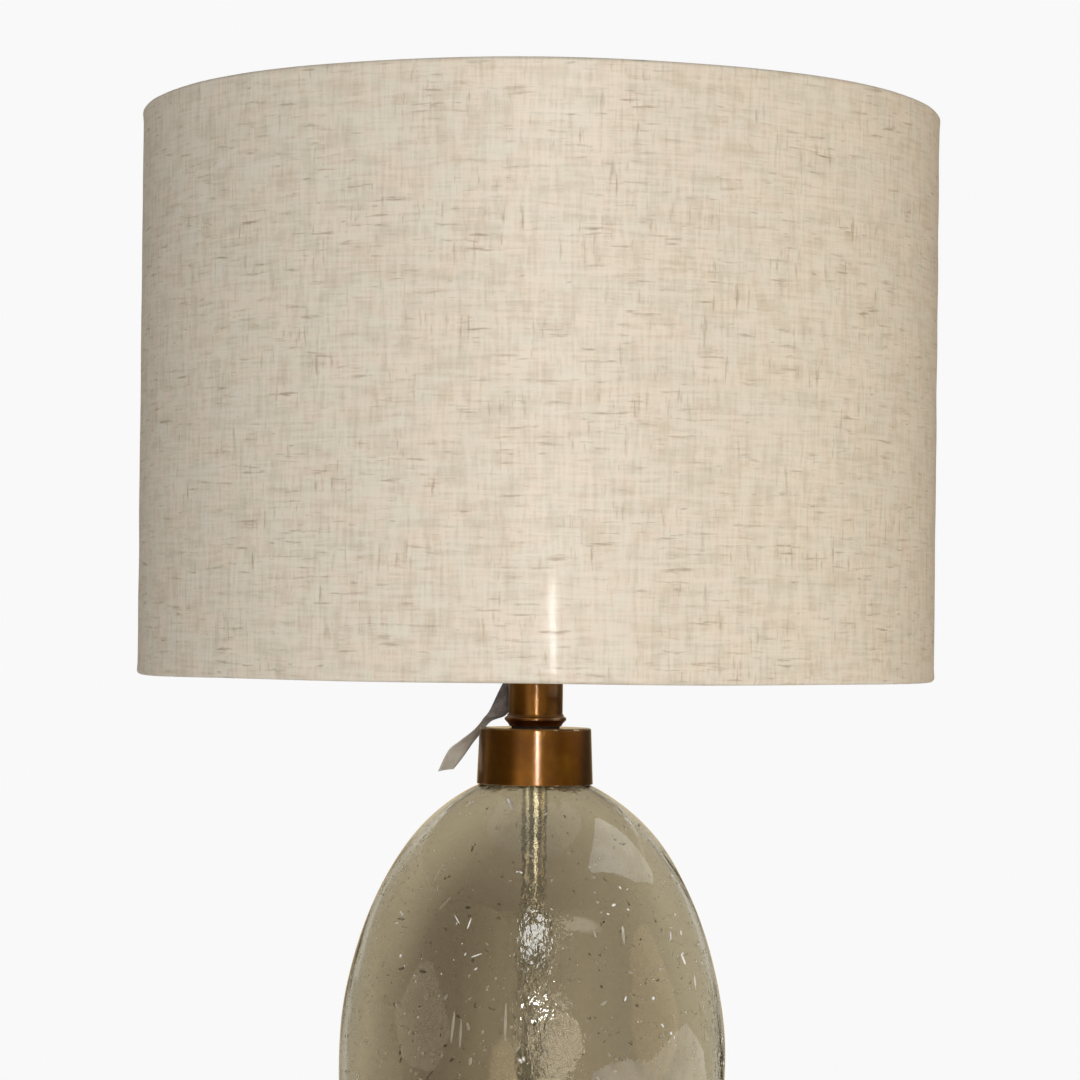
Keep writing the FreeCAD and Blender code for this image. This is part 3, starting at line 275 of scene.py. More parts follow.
# ================================================================ finishes
class Nodes:
    """Short ways to add and join the nodes of a tree."""

    def __init__(self, tree):
        self.tree = tree

    def join(self, value, socket):
        if isinstance(value, bpy.types.NodeSocket):
            self.tree.links.new(value, socket)
        else:
            socket.default_value = value

    def add(self, kind, values=(), output=0, **settings):
        """A new node's output. Values are for its first inputs, in order; None leaves one as it is."""
        node = self.tree.nodes.new("ShaderNode" + kind)
        for key, value in settings.items():
            setattr(node, key, value)
        for socket, value in zip(node.inputs, values):
            if value is not None:
                self.join(value, socket)
        return node.outputs[output]

    def spot(self):
        """The place on the piece, in metres."""
        return self.add("TexCoord", output=3)

    def parts(self, vector):
        """The x, y and z of a vector."""
        return self.add("SeparateXYZ", (vector,)).node.outputs

    def attribute(self, name, output):
        return self.add("Attribute", attribute_name=name, output=output)

    def maths(self, operation, *values):
        return self.add("Math", values, operation=operation)

    def scaled(self, vector, x, y, z, shift=0.0):
        grown = self.add("VectorMath", (vector, (x, y, z)), operation="MULTIPLY")
        return self.add("VectorMath", (grown, (shift, shift, shift)), operation="ADD")

    def noise(self, vector, detail=2.0, roughness=0.5):
        """Noise of about 0.3 to 0.7, whose grain is one unit of the vector."""
        return self.add("TexNoise", (vector, None, 1.0, detail, roughness))

    def spread(self, value, low, high, to_low=0.0, to_high=1.0):
        """Maps low..high onto to_low..to_high, smoothly and clamped."""
        return self.add("MapRange", (value, low, high, to_low, to_high), interpolation_type="SMOOTHSTEP")

    def blend(self, share, a, b, way="MIX"):
        node = self.add("Mix", data_type="RGBA", blend_type=way).node
        for index, value in ((0, share), (6, a), (7, b)):
            self.join(value, node.inputs[index])
        return node.outputs[2]

    def bump(self, height, distance, strength=1.0):
        """Relief of a height of 0 to 1 that stands for this distance in metres."""
        node = self.add("Bump").node
        for key, value in (("Strength", strength), ("Distance", distance), ("Height", height)):
            self.join(value, node.inputs[key])
        return node.outputs[0]


class Finish(Nodes):
    """A material with a Principled shader."""

    def __init__(self, name, **plain):
        self.material = bpy.data.materials.new(name)
        self.material.use_nodes = True
        super().__init__(self.material.node_tree)
        self.shader = self.tree.nodes["Principled BSDF"]
        self.set(**plain)

    def set(self, **values):
        """Sets or joins the shader's sockets; a socket's name is written with _ for a space."""
        for key, value in values.items():
            self.join(value, self.shader.inputs[key.replace("_", " ")])

    def show(self, shader):
        """Shows another shader in the Principled one's place."""
        self.join(shader, self.tree.nodes["Material Output"].inputs[0])


def rgb(red, green, blue):
    """A linear colour from the 0..255 values that a picture shows."""
    def linear(value):
        share = value / 255
        return share / 12.92 if share <= 0.04045 else ((share + 0.055) / 1.055) ** 2.4
    return (linear(red), linear(green), linear(blue), 1.0)


def brushed_lines(f, fineness, slow=35.0):
    """Noise in fine lines round the axis: along a wall they change with height, on a flat top with radius."""
    x, y, z = f.parts(f.spot())
    radius = f.maths("SQRT", f.maths("ADD", f.maths("MULTIPLY", x, x), f.maths("MULTIPLY", y, y)))
    rise = f.maths("MULTIPLY", f.maths("ADD", z, radius), fineness)
    vector = f.add("CombineXYZ", (f.maths("MULTIPLY", x, slow), f.maths("MULTIPLY", y, slow), rise))
    return f.noise(vector, detail=3.0, roughness=0.6)


def antique_brass():
    """Brown lacquered brass, brushed round the axis, with darker patina and rubbed edges."""
    f = Finish("antique_brass", Metallic=1.0, Anisotropic=0.65, Anisotropic_Rotation=0.25)
    f.set(Tangent=f.add("Tangent", direction_type="RADIAL", axis="Z"), Coat_Weight=0.8, Coat_Roughness=0.17)
    spot = f.spot()
    lines = brushed_lines(f, 2600.0)
    patina = f.noise(f.scaled(spot, 34, 34, 30), detail=4.0, roughness=0.6)
    freckles = f.noise(f.scaled(spot, 420, 420, 420), detail=2.0)
    colour = f.blend(f.spread(patina, 0.34, 0.66), rgb(118, 70, 14), rgb(157, 106, 28))
    colour = f.blend(f.spread(lines, 0.35, 0.70, 0.0, 0.14), colour, rgb(92, 54, 20))
    colour = f.blend(f.spread(freckles, 0.70, 0.78, 0.0, 0.35), colour, rgb(70, 42, 20))
    rubbed = f.maths("MULTIPLY", f.attribute("wear", 2), f.spread(patina, 0.40, 0.60))
    colour = f.blend(rubbed, colour, rgb(188, 146, 84))
    chips = f.spread(f.noise(f.scaled(spot, 210, 210, 260, 7.0), detail=2.0), 0.60, 0.64)
    worn = f.spread(f.attribute("wear", 2), 0.05, 0.30)
    colour = f.blend(f.maths("MULTIPLY", chips, worn), colour, rgb(226, 204, 166))
    f.set(
        Base_Color=colour,
        Roughness=f.spread(patina, 0.3, 0.7, 0.38, 0.30),
        Normal=f.bump(lines, 0.004 * MM, 0.5),
    )
    return f.material


def seeded_glass():
    """Smoky olive glass, with painted shade on its lower left, a painted reflection that pales its rims, and
    seeds painted opaque white as glints. Its seeds and waves are in the mesh, and the finest seeds are relief.
    """
    f = Finish("seeded_glass", Transmission_Weight=1.0, IOR=1.5, Roughness=0.0)
    spot = f.spot()
    seed = f.attribute("seed", 2)
    x, _, z = f.parts(spot)
    # Painted shade: the glass is darker on its left and below its shoulder, with a wavering edge.
    drift = f.maths("MULTIPLY_ADD", f.noise(f.scaled(spot, 16, 16, 10), detail=2.0), 90 * MM, -45 * MM)
    painted_shade_left = f.spread(f.maths("ADD", x, drift), -32 * MM, 30 * MM, 1.0, 0.0)
    low = f.spread(z, 235 * MM, 295 * MM, 1.0, 0.15)
    colour = f.blend(f.maths("MULTIPLY", painted_shade_left, low), (0.51, 0.46, 0.36, 1), (0.385, 0.34, 0.26, 1))
    facing = f.add("LayerWeight", output=1)
    # Painted reflection: the glass's tint pales towards its rims.
    colour = f.blend(f.spread(facing, 0.16, 0.52), colour, (0.80, 0.75, 0.60, 1))
    cells = f.add("TexVoronoi", (spot, None, 260.0), feature="F1")
    crowd = f.spread(f.noise(f.scaled(spot, 30, 30, 20), detail=3.0), 0.50, 0.62)
    dots = f.maths("MULTIPLY", f.spread(cells, 0.05, 0.16, 1.0, 0.0), crowd)
    crumpled = f.spread(f.noise(f.scaled(spot, 22, 22, 9, 3.0), detail=1.0), 0.46, 0.62, 0.02, 0.14)
    squeezed = f.scaled(spot, 1, 1, CRUMPLE_SQUEEZE)
    away = f.add("VectorMath", (squeezed, CRUMPLE_AT), output=1, operation="DISTANCE")
    crumpled = f.maths("ADD", crumpled, f.spread(away, 9 * MM, 26 * MM, 0.8, 0.0))
    crumpled = f.maths("MULTIPLY", crumpled, f.spread(facing, 0.30, 0.60, 1.0, 0.0))
    waves = f.maths("MULTIPLY", f.noise(f.scaled(spot, 300, 300, 170), detail=2.0), crumpled)
    relief = f.bump(dots, 0.12 * MM)
    f.join(f.bump(waves, 0.6 * MM), relief.node.inputs["Normal"])
    # Painted glint: the seeds get an opaque white finish, though real bubbles are clear.
    f.set(
        Base_Color=f.blend(seed, colour, (0.98, 0.98, 0.96, 1)),
        Transmission_Weight=f.spread(seed, 0.0, 1.0, 1.0, 0.0),
        Roughness=f.spread(seed, 0.0, 1.0, 0.0, 0.30),
        Normal=relief,
    )
    return f.material


def linen_laminate():
    """Oatmeal linen with soft brown slubs both ways, under a clear glossy film."""
    f = Finish("linen_laminate", Roughness=0.48, Coat_Weight=0.05, Coat_Roughness=0.08, Coat_IOR=1.5)
    place = f.attribute("place", 1)
    across = f.noise(f.scaled(place, 48, 560, 1, 3.0), detail=3.0, roughness=0.55)
    upward = f.noise(f.scaled(place, 560, 48, 1, 9.0), detail=3.0, roughness=0.55)
    threads = f.maths("MULTIPLY", f.maths("ADD", across, upward), 0.5)
    wide = f.noise(f.scaled(place, 38, 150, 1, 5.0), detail=3.0, roughness=0.6)
    tall = f.noise(f.scaled(place, 150, 38, 1, 13.0), detail=3.0, roughness=0.6)
    clouds = f.maths("MULTIPLY", f.maths("ADD", wide, tall), 0.5)
    tint = f.noise(f.scaled(place, 50, 60, 1, 17.0), detail=3.0, roughness=0.65)
    bunch = f.spread(f.noise(f.scaled(place, 26, 34, 1, 23.0), detail=2.0), 0.36, 0.62, 0.25, 1.0)
    slubs = f.spread(f.noise(f.scaled(place, 52, 420, 1, 31.0), detail=3.0, roughness=0.6), 0.56, 0.74)
    upright = f.spread(f.noise(f.scaled(place, 420, 58, 1, 47.0), detail=3.0, roughness=0.6), 0.57, 0.75)
    knots = f.spread(f.noise(f.scaled(place, 110, 420, 1, 61.0), detail=1.0), 0.68, 0.86)
    colour = f.blend(f.spread(tint, 0.38, 0.62), rgb(225, 211, 193), rgb(220, 212, 195))
    colour = f.blend(f.spread(threads, 0.42, 0.62, 0.0, 0.45), colour, rgb(234, 226, 211))
    colour = f.blend(f.spread(threads, 0.34, 0.50, 0.34, 0.0), colour, rgb(190, 172, 146))
    colour = f.blend(f.spread(clouds, 0.38, 0.54, 0.30, 0.0), colour, rgb(186, 171, 146))
    colour = f.blend(f.maths("MULTIPLY", f.maths("MULTIPLY", slubs, bunch), 0.75), colour, rgb(158, 136, 108))
    colour = f.blend(f.maths("MULTIPLY", f.maths("MULTIPLY", upright, bunch), 0.65), colour, rgb(162, 142, 114))
    colour = f.blend(f.maths("MULTIPLY", knots, 0.5), colour, rgb(132, 108, 78))
    relief = f.maths("ADD", threads, f.maths("MULTIPLY", f.maths("ADD", slubs, upright), 0.25))
    f.set(Base_Color=colour, Normal=f.bump(relief, 0.10 * MM, 0.5), Coat_Normal=f.bump(threads, 0.03 * MM, 0.3))
    return f.material


def plain_metal(name, pale, dark, rough, fineness=90.0, grain=600.0):
    """Metal whose tone and roughness wander, with fine scratches."""
    f = Finish(name, Metallic=1.0)
    spot = f.spot()
    cloud = f.noise(f.scaled(spot, fineness, fineness, fineness), detail=4.0, roughness=0.6)
    fine = f.noise(f.scaled(spot, grain, grain, 4 * grain), detail=2.0)
    f.set(
        Base_Color=f.blend(f.spread(cloud, 0.32, 0.66), dark, pale),
        Roughness=f.spread(fine, 0.3, 0.7, rough - 0.06, rough + 0.08),
        Normal=f.bump(fine, 0.01 * MM, 0.4),
    )
    return f.material


def plain_body(name, pale, dark, rough, grain, relief, **more):
    """A plastic, rubber, card or paint: two close tones, and a grain of this many units a metre."""
    f = Finish(name, **more)
    spot = f.spot()
    cloud = f.noise(f.scaled(spot, grain / 8, grain / 8, grain / 8), detail=3.0)
    fine = f.noise(f.scaled(spot, grain, grain, grain), detail=3.0, roughness=0.65)
    f.set(
        Base_Color=f.blend(f.spread(f.maths("ADD", cloud, fine), 0.75, 1.25), dark, pale),
        Roughness=f.spread(cloud, 0.3, 0.7, rough - 0.05, rough + 0.07),
        Normal=f.bump(fine, relief, 0.6),
    )
    return f.material


def green_felt():
    """Pressed wool felt: matted fibres that run every way."""
    f = Finish("green_felt", Roughness=0.95, Sheen_Weight=0.4, Sheen_Roughness=0.5)
    spot = f.spot()
    long = f.noise(f.scaled(spot, 350, 2400, 900), detail=3.0)
    cross = f.noise(f.scaled(spot, 2400, 350, 900, 5.0), detail=3.0)
    fibres = f.maths("MAXIMUM", long, cross)
    f.set(
        Base_Color=f.blend(f.spread(fibres, 0.45, 0.68), (0.022, 0.045, 0.028, 1), (0.075, 0.125, 0.085, 1)),
        Normal=f.bump(fibres, 0.2 * MM),
    )
    return f.material


def tag_paper():
    """Blank label stock, with painted shade that greys it above the cap."""
    f = Finish("tag_paper", Roughness=0.5)
    spot = f.spot()
    cloud = f.noise(f.scaled(spot, 260, 260, 260), detail=3.0, roughness=0.6)
    fibre = f.noise(f.scaled(spot, 2200, 2200, 2200), detail=2.0)
    paper = f.blend(f.spread(cloud, 0.35, 0.65), rgb(193, 186, 173), rgb(204, 197, 185))
    # Painted shade: the strip darkens above the cap, where it lies under the lamp's shade.
    painted_shade_share = f.spread(f.parts(spot)[2], CAP_TOP - 2 * MM, CAP_TOP + 9 * MM)
    painted_shade_tone = f.blend(f.spread(cloud, 0.40, 0.60), rgb(99, 91, 88), rgb(124, 116, 112))
    f.set(Base_Color=f.blend(painted_shade_share, paper, painted_shade_tone), Normal=f.bump(fibre, 0.015 * MM, 0.5))
    return f.material


FINISHES = {}


def make_finishes():
    """Fills FINISHES with a material for every slot of the record, and gives the CAD nodes theirs."""
    FINISHES.update({
        "antique_brass": antique_brass(),
        "seeded_glass": seeded_glass(),
        "linen_laminate": linen_laminate(),
        "shade_film": plain_body("shade_film", rgb(240, 236, 226), rgb(232, 226, 213), 0.42, 500.0, 0.02 * MM),
        "white_wire": plain_body("white_wire", rgb(238, 236, 230), rgb(226, 223, 214), 0.38, 900.0, 0.03 * MM),
        "tube_steel": plain_metal("tube_steel", rgb(212, 214, 212), rgb(158, 160, 156), 0.24, 60.0),
        "zinc_steel": plain_metal("zinc_steel", rgb(206, 208, 206), rgb(164, 166, 164), 0.30),
        "plated_wire": plain_metal("plated_wire", rgb(170, 126, 66), rgb(122, 84, 38), 0.30),
        "socket_brass": plain_metal("socket_brass", rgb(214, 178, 106), rgb(178, 138, 70), 0.22),
        "lead_wire": plain_metal("lead_wire", rgb(160, 160, 162), rgb(120, 120, 122), 0.28),
        "bulb_aluminium": plain_metal("bulb_aluminium", rgb(222, 222, 220), rgb(190, 190, 188), 0.26),
        "grey_iron": plain_body(
            "grey_iron", rgb(90, 90, 92), rgb(58, 58, 60), 0.62, 700.0, 0.25 * MM, Metallic=0.6),
        "black_rubber": plain_body("black_rubber", rgb(44, 43, 42), rgb(26, 26, 26), 0.66, 900.0, 0.05 * MM),
        "clear_rubber": plain_body(
            "clear_rubber", rgb(196, 192, 180), rgb(172, 168, 154), 0.50, 400.0, 0.04 * MM),
        "black_plastic": plain_body("black_plastic", rgb(38, 37, 36), rgb(22, 22, 22), 0.40, 1300.0, 0.04 * MM),
        "brown_plastic": plain_body("brown_plastic", rgb(88, 62, 46), rgb(58, 38, 28), 0.42, 900.0, 0.04 * MM),
        "card": plain_body("card", rgb(182, 150, 112), rgb(150, 120, 86), 0.85, 1500.0, 0.06 * MM),
        "green_felt": green_felt(),
        "bulb_opal": plain_body(
            "bulb_opal", rgb(246, 245, 240), rgb(238, 236, 230), 0.38, 1500.0, 0.01 * MM,
            Transmission_Weight=0.25, Subsurface_Weight=0.4, Subsurface_Scale=0.004),
        "bulb_clear": plain_body(
            "bulb_clear", rgb(246, 248, 248), rgb(236, 240, 240), 0.06, 300.0, 0.02 * MM,
            Transmission_Weight=1.0),
        "bulb_insulator": plain_body(
            "bulb_insulator", rgb(34, 34, 40), rgb(20, 20, 24), 0.14, 500.0, 0.03 * MM),
        "tag_paper": tag_paper(),
    })
    for piece in frame["record"]["subparts"]:
        node = frame["nodes"][piece["node"]]
        node.data.materials.clear()
        node.data.materials.append(FINISHES[piece["material_slot"]])


# ================================================================ shade
def shade_cloth():
    """The laminate, as one strip that goes round and overlaps itself at the back, with rolled edges."""
    segments, inner_rows = 360, 24
    low, high = SHADE_BOTTOM + HEM_R, SHADE_TOP - HEM_R
    strip = FULL_TURN + CLOTH_OVERLAP / SHADE_R
    turn = math.radians(BACK) + np.linspace(0, strip, segments + 1)
    u = (turn - turn[0]) * SHADE_R
    over = CLOTH_T * 1.2 * smooth((u - (u[-1] - 2.5 * CLOTH_OVERLAP)) / CLOTH_OVERLAP)
    near_arm = np.min([np.abs(wrapped(turn - math.radians(a))) for a in ARM_ANGLES], axis=0) * SHADE_R
    hem_end = np.radians(HEM_TURN - 95.0 * (1 - smooth((near_arm - 3.5 * MM) / (3 * MM))))
    outside = cloth_side(low, high, HEM_R, SHADE_R + HEM_PROUD, 70, hem_end)
    inside = cloth_side(low, high, HEM_R - CLOTH_T, SHADE_R + HEM_PROUD - CLOTH_T, inner_rows, hem_end)
    r = np.concatenate([outside[0], inside[0][:, ::-1]], 1)
    z = np.concatenate([outside[1], inside[1][:, ::-1]], 1)
    way = turn[:, None]
    r = r + over[:, None] + 0.10 * MM * ripples(3, 14, 40, 180.0, way, z)
    r = r + 0.25 * MM * ripples(4, 6, 5, 8.0, way, z)
    z = z + 0.20 * MM * ripples(5, 8, 9, 0.0, way, z)
    verts = np.stack([r * np.cos(way), r * np.sin(way), z], 2).reshape(-1, 3)
    place = np.stack([np.broadcast_to(u[:, None], z.shape), z, z * 0], 2).reshape(-1, 3)
    rows = r.shape[1]
    faces = grid_faces(segments + 1, rows, False, True).tolist()
    ends = [list(range(rows))[::-1], [segments * rows + k for k in range(rows)]]
    half = rows - inside[0].shape[1]
    for end in ends:
        faces += end_quads(end, half)
    piece = new_piece(
        "shade_cloth", verts, faces, "shade", "linen_laminate", ["shade_fabric"], place=place)
    return piece


def end_quads(loop, half):
    """Closes a strip's cut end, whose loop runs up one side and back down the other."""
    first, second = loop[:half], loop[half:][::-1]
    if len(first) < len(second):
        first, second = second, first
    faces = []
    for k in range(len(first) - 1):
        a = round(k * (len(second) - 1) / (len(first) - 1))
        b = round((k + 1) * (len(second) - 1) / (len(first) - 1))
        faces.append([first[k], first[k + 1], second[b]] + ([second[a]] if a != b else []))
    return faces


def cloth_side(low, high, hem, outer, rows, hem_end):
    """Radius and height of one side of the cloth, per column, from the lower hem's end to the upper's."""
    arc = np.linspace(1, 0, 13)[None, :] * hem_end[:, None]
    centre = SHADE_R + HEM_PROUD - HEM_R
    up = np.linspace(low, high, rows)[None, 1:-1]
    wall = outer - HEM_PROUD * smooth(np.minimum(up - low, high - up) / (4 * MM)) + 0 * hem_end[:, None]
    r = np.concatenate([centre + hem * np.cos(arc), wall, (centre + hem * np.cos(arc))[:, ::-1]], 1)
    z = np.concatenate([low - hem * np.sin(arc), up + 0 * wall, (high + hem * np.sin(arc))[:, ::-1]], 1)
    return r, z


def smooth(share):
    share = np.clip(share, 0, 1)
    return share * share * (3 - 2 * share)


def wrapped(angle):
    return (angle + math.pi) % FULL_TURN - math.pi


# ================================================================ glass
def glass_body():
    """The blown egg: a wavy wall, with seeds and a few long blisters in it."""
    foot_deg = math.degrees(math.asin(GLASS_FOOT_R / GLASS_R))
    neck_deg = math.degrees(math.asin(GLASS_NECK_R / GLASS_R))
    inner_w, inner_h = GLASS_R - GLASS_WALL, GLASS_HALF_H - GLASS_WALL
    inner_neck_r = GLASS_NECK_R - GLASS_NECK_WALL
    foot_inner_r = inner_w * math.sqrt(1 - ((GLASS_MIDDLE - GLASS_FOOT) / inner_h) ** 2)
    outer = egg_rows(GLASS_R, GLASS_HALF_H, 180 - foot_deg, neck_deg, 130)
    inner = egg_rows(
        inner_w, inner_h, 180 - math.degrees(math.asin(foot_inner_r / inner_w)),
        math.degrees(math.asin(inner_neck_r / inner_w)), 120)
    rows = outer + [(GLASS_NECK_R, GLASS_LIP, 0.0), (inner_neck_r, GLASS_LIP, 0.0)] + inner[::-1]

    def warp(r, z, turn):
        calm = smooth((z - GLASS_FOOT) / (25 * MM)) * smooth((GLASS_LIP - 12 * MM - z) / (25 * MM))
        inside = np.arange(len(rows)) >= len(outer) + 1
        both = WALL_WAVES * ripples(12, 24, 12, 120.0, turn, z)
        inner = INNER_WAVES * ripples(11, 16, 9, 80.0, turn, z)
        inner = inner + INNER_RIPPLES * ripples(13, 40, 60, 420.0, turn, z)
        return r + calm * (both + np.where(inside, inner, 0.0)), z

    verts, faces, _ = lathe(rows, 216, warp)
    verts, faces = [verts], [faces.tolist()]
    start = len(verts[0])
    for centre, axes, level in seeds():
        points, sides = ball(level)
        verts.append(points @ axes + centre)
        faces.append([[start + k for k in side[::-1]] for side in sides])
        start += len(points)
    faces = [face for group in faces for face in group]
    seed = np.ones(start)
    seed[:len(verts[0])] = 0
    verts = np.concatenate(verts)
    return new_piece("glass_egg", verts, faces, "root", "seeded_glass", ["glass_body"], seed=seed)


def egg_rows(width, half_height, low_deg, high_deg, count):
    """Rows up an egg's wall between two angles from its top."""
    angles = np.radians(np.linspace(low_deg, high_deg, count))
    return [(width * math.sin(a), GLASS_MIDDLE + half_height * math.cos(a), 0.0) for a in angles]


BALLS = {}


def ball(level):
    """Points and triangles of a round ball of radius 1; each level has four times the triangles."""
    if level not in BALLS:
        work = bmesh.new()
        bmesh.ops.create_icosphere(work, subdivisions=level, radius=1)
        points = np.array([v.co for v in work.verts])
        BALLS[level] = points, [[v.index for v in side.verts] for side in work.faces]
        work.free()
    return BALLS[level]


def in_wall(angle, height, depth, across, up, through, lean=0.0):
    """Centre and axes of a bubble in the glass, with its angle in degrees and depth as a share of the wall."""
    way = math.radians(angle)
    share = (height - GLASS_MIDDLE) / GLASS_HALF_H
    radius = GLASS_R * math.sqrt(1 - share ** 2)
    out = Vector((math.cos(way), math.sin(way), 0))
    side = Vector((-math.sin(way), math.cos(way), 0))
    normal = (out * (radius / GLASS_R ** 2) + Vector((0, 0, share / GLASS_HALF_H))).normalized()
    rise = normal.cross(side)
    rise, side = rise * math.cos(lean) + side * math.sin(lean), side * math.cos(lean) - rise * math.sin(lean)
    centre = out * radius + Vector((0, 0, height)) - normal * (GLASS_WALL * depth)
    return np.array(centre), np.array([side * across, rise * up, normal * through])


# Angle, height, half width, half length and lean of the long blisters that the photograph shows.
BLISTERS = [
    (253.0, 300 * MM, 1.5 * MM, 6.0 * MM, -0.5),
    (246.4, 193 * MM, 0.8 * MM, 8.0 * MM, 0.05),
    (249.0, 190 * MM, 0.6 * MM, 7.0 * MM, 0.0),
    (262.2, 197 * MM, 0.7 * MM, 9.5 * MM, 0.0),
    (229.0, 266 * MM, 0.45 * MM, 5.0 * MM, 0.25),
    (232.0, 258 * MM, 0.35 * MM, 3.5 * MM, -0.5),
    (237.0, 252 * MM, 0.40 * MM, 4.0 * MM, 0.6),
    (243.0, 245 * MM, 0.35 * MM, 3.5 * MM, -0.7),
    (248.0, 243 * MM, 0.35 * MM, 3.0 * MM, 0.2),
    (252.0, 228 * MM, 0.30 * MM, 3.0 * MM, 1.2),
    (301.0, 238 * MM, 1.0 * MM, 5.0 * MM, 0.1),
    (322.0, 236 * MM, 0.8 * MM, 3.5 * MM, 0.4),
    (326.0, 224 * MM, 0.9 * MM, 3.0 * MM, -0.3),
    (330.0, 212 * MM, 0.8 * MM, 4.0 * MM, 0.2),
    (333.0, 198 * MM, 0.9 * MM, 4.0 * MM, -0.2),
    (334.0, 184 * MM, 0.8 * MM, 3.5 * MM, 0.3),
]


def seeds():
    """The long blisters and every seed, thicker towards the foot; about half lie close under the surface."""
    pick = np.random.default_rng(21)
    made = [in_wall(a, h, 0.12, wide, long, 0.40 * MM, lean) + (3,) for a, h, wide, long, lean in BLISTERS]
    low, high = GLASS_FOOT + 8 * MM, CAP_RIM - 4 * MM
    while len(made) < SEED_COUNT:
        share = pick.random()
        angle, depth, chance = pick.uniform(0, 360), pick.uniform(0.25, 0.55), pick.random()
        size = 0.27 * MM + 0.70 * MM * pick.random() ** 3.5
        stretch, lean = 1 + 1.8 * pick.random() ** 2, pick.normal(0, 0.9)
        shallow = pick.random() < 0.5
        if chance > 1 - 0.8 * share:
            continue
        if shallow:
            depth = (0.7 * size + 0.06 * MM) / GLASS_WALL
        level = 2 if size > 0.68 * MM else 1
        height = low + share * (high - low)
        made.append(in_wall(angle, height, depth, size, size * stretch, size * 0.7, lean) + (level,))
    return made


# ================================================================ cap, neck and foot
def brass_pieces():
    """The turned brass that shows, with fine rounded edges."""
    wall, edge = 1.2 * MM, 0.35 * MM
    turned("cap", [
        (29.8 * MM, CAP_RIM, edge), (CAP_TOP_R, CAP_TOP, 1.0 * MM), (ROD_HOLE_R, CAP_TOP, edge),
        (ROD_HOLE_R, CAP_TOP - wall, 0), (27.5 * MM, CAP_TOP - wall, 0.4 * MM), (28.6 * MM, CAP_RIM, edge),
    ], "root", "antique_brass", ["neck_cap"], 160, dented(31, 0.03 * MM))
    turned("neck", [
        (NECK_R, NECK_FOOT, edge), (NECK_R, NECK_TOP, edge), (ROD_HOLE_R, NECK_TOP, edge),
        (ROD_HOLE_R, NECK_TOP - wall, 0), (NECK_INNER_R, NECK_TOP - wall, 0),
        (NECK_INNER_R, NECK_FOOT, 0.2 * MM),
    ], "root", "antique_brass", ["neck_tube"], 112, dented(32, 0.015 * MM))
    floor_z, lip_z = RING_FOOT + 1.2 * MM, RING_FOOT + 3.7 * MM
    turned("check_ring", [
        (13.4 * MM, RING_FOOT, 0.3 * MM), (13.9 * MM, floor_z, 0.4 * MM),
        (15.9 * MM, lip_z - 0.4 * MM, 0.5 * MM), (15.8 * MM, lip_z + 0.7 * MM, 0.4 * MM),
        (14.5 * MM, lip_z + 1.5 * MM, 0.5 * MM), (14.4 * MM, RING_TOP, 0.15 * MM),
        (NECK_R + 0.1 * MM, RING_TOP, 0.1 * MM), (NECK_R + 0.1 * MM, floor_z, 0),
        (ROD_HOLE_R, floor_z, 0), (ROD_HOLE_R, RING_FOOT, 0),
    ], "root", "antique_brass", ["neck_ring"], 112)
    wall, bead, rim_r = 1.5 * MM, 1.1 * MM, 54.0 * MM
    turned("foot_cup", [
        (ROD_HOLE_R, CUP_FOOT, 0), (rim_r - 1.0 * MM, CUP_FOOT, 0.6 * MM),
        (rim_r - 0.4 * MM, CUP_RIM - 3 * bead, 1.0 * MM), (rim_r, CUP_RIM - 1.2 * bead, 0.7 * MM),
        (rim_r - 0.4 * MM, CUP_RIM, 0.5 * MM), (rim_r - wall, CUP_RIM, 0.2 * MM),
        (rim_r - wall, CUP_FOOT + wall, 0), (ROD_HOLE_R, CUP_FOOT + wall, 0),
    ], "root", "antique_brass", ["base_cup"], 192)


def dented(seed, depth):
    """A warp that leaves a spun wall slightly uneven."""
    def warp(r, z, turn):
        return r + depth * ripples(seed, 10, 6, 120.0, turn, z), z
    return warp


def finial():
    """A turned ball on a beaded neck, over its ferrule."""
    bore = 3.3 * MM
    turned("finial_ferrule_turned", [
        (bore, FERRULE_FOOT, 0), (7.0 * MM, FERRULE_FOOT, 0.3 * MM),
        (7.0 * MM, FERRULE_FOOT + 1.6 * MM, 0.3 * MM),
        (6.3 * MM, FERRULE_FOOT + 2.0 * MM, 0.2 * MM), (6.8 * MM, FERRULE_FOOT + 3.0 * MM, 0.5 * MM),
        (4.6 * MM, FERRULE_TOP, 0.4 * MM), (bore, FERRULE_TOP, 0),
    ], "finial_ferrule", "antique_brass", ["finial_base"], 80)
    ball_r, steps = 8.5 * MM, 40
    middle = KNOB_TOP - ball_r
    waist_r, waist_top, bore_top = 4.6 * MM, KNOB_FOOT + 1.6 * MM, KNOB_FOOT + 5.0 * MM
    low = math.asin((waist_r - 0.3 * MM) / ball_r)
    rows = [
        (bore, KNOB_FOOT, 0.0), (waist_r, KNOB_FOOT, 0.0), (waist_r + 0.2 * MM, KNOB_FOOT + 0.6 * MM, 0.6),
        (waist_r - 0.2 * MM, waist_top, 0.0),
    ]
    for a in np.linspace(math.pi - low, 0, steps):
        if middle + ball_r * math.cos(a) > waist_top:
            rows.append((ball_r * math.sin(a), middle + ball_r * math.cos(a), 0.0))
    rows += [(0.0, bore_top, 0.0), (bore, bore_top, 0.0)]
    verts, faces, wear = lathe(rows, 96)
    new_piece("finial_ball", verts, faces, "finial", "antique_brass", ["finial_knob"], wear=wear)


def helix(depth, pitch, low, high, across):
    """A warp that rolls a round-crested screw thread, this deep at its roots, into a wall wider than across."""
    def warp(r, z, turn):
        wave = 0.5 - 0.5 * np.cos(FULL_TURN * z / pitch - turn)
        fade = smooth((z - low) / (pitch / 2)) * smooth((high - z) / (pitch / 2))
        return r - depth * wave * fade * (r > across), z
    return warp


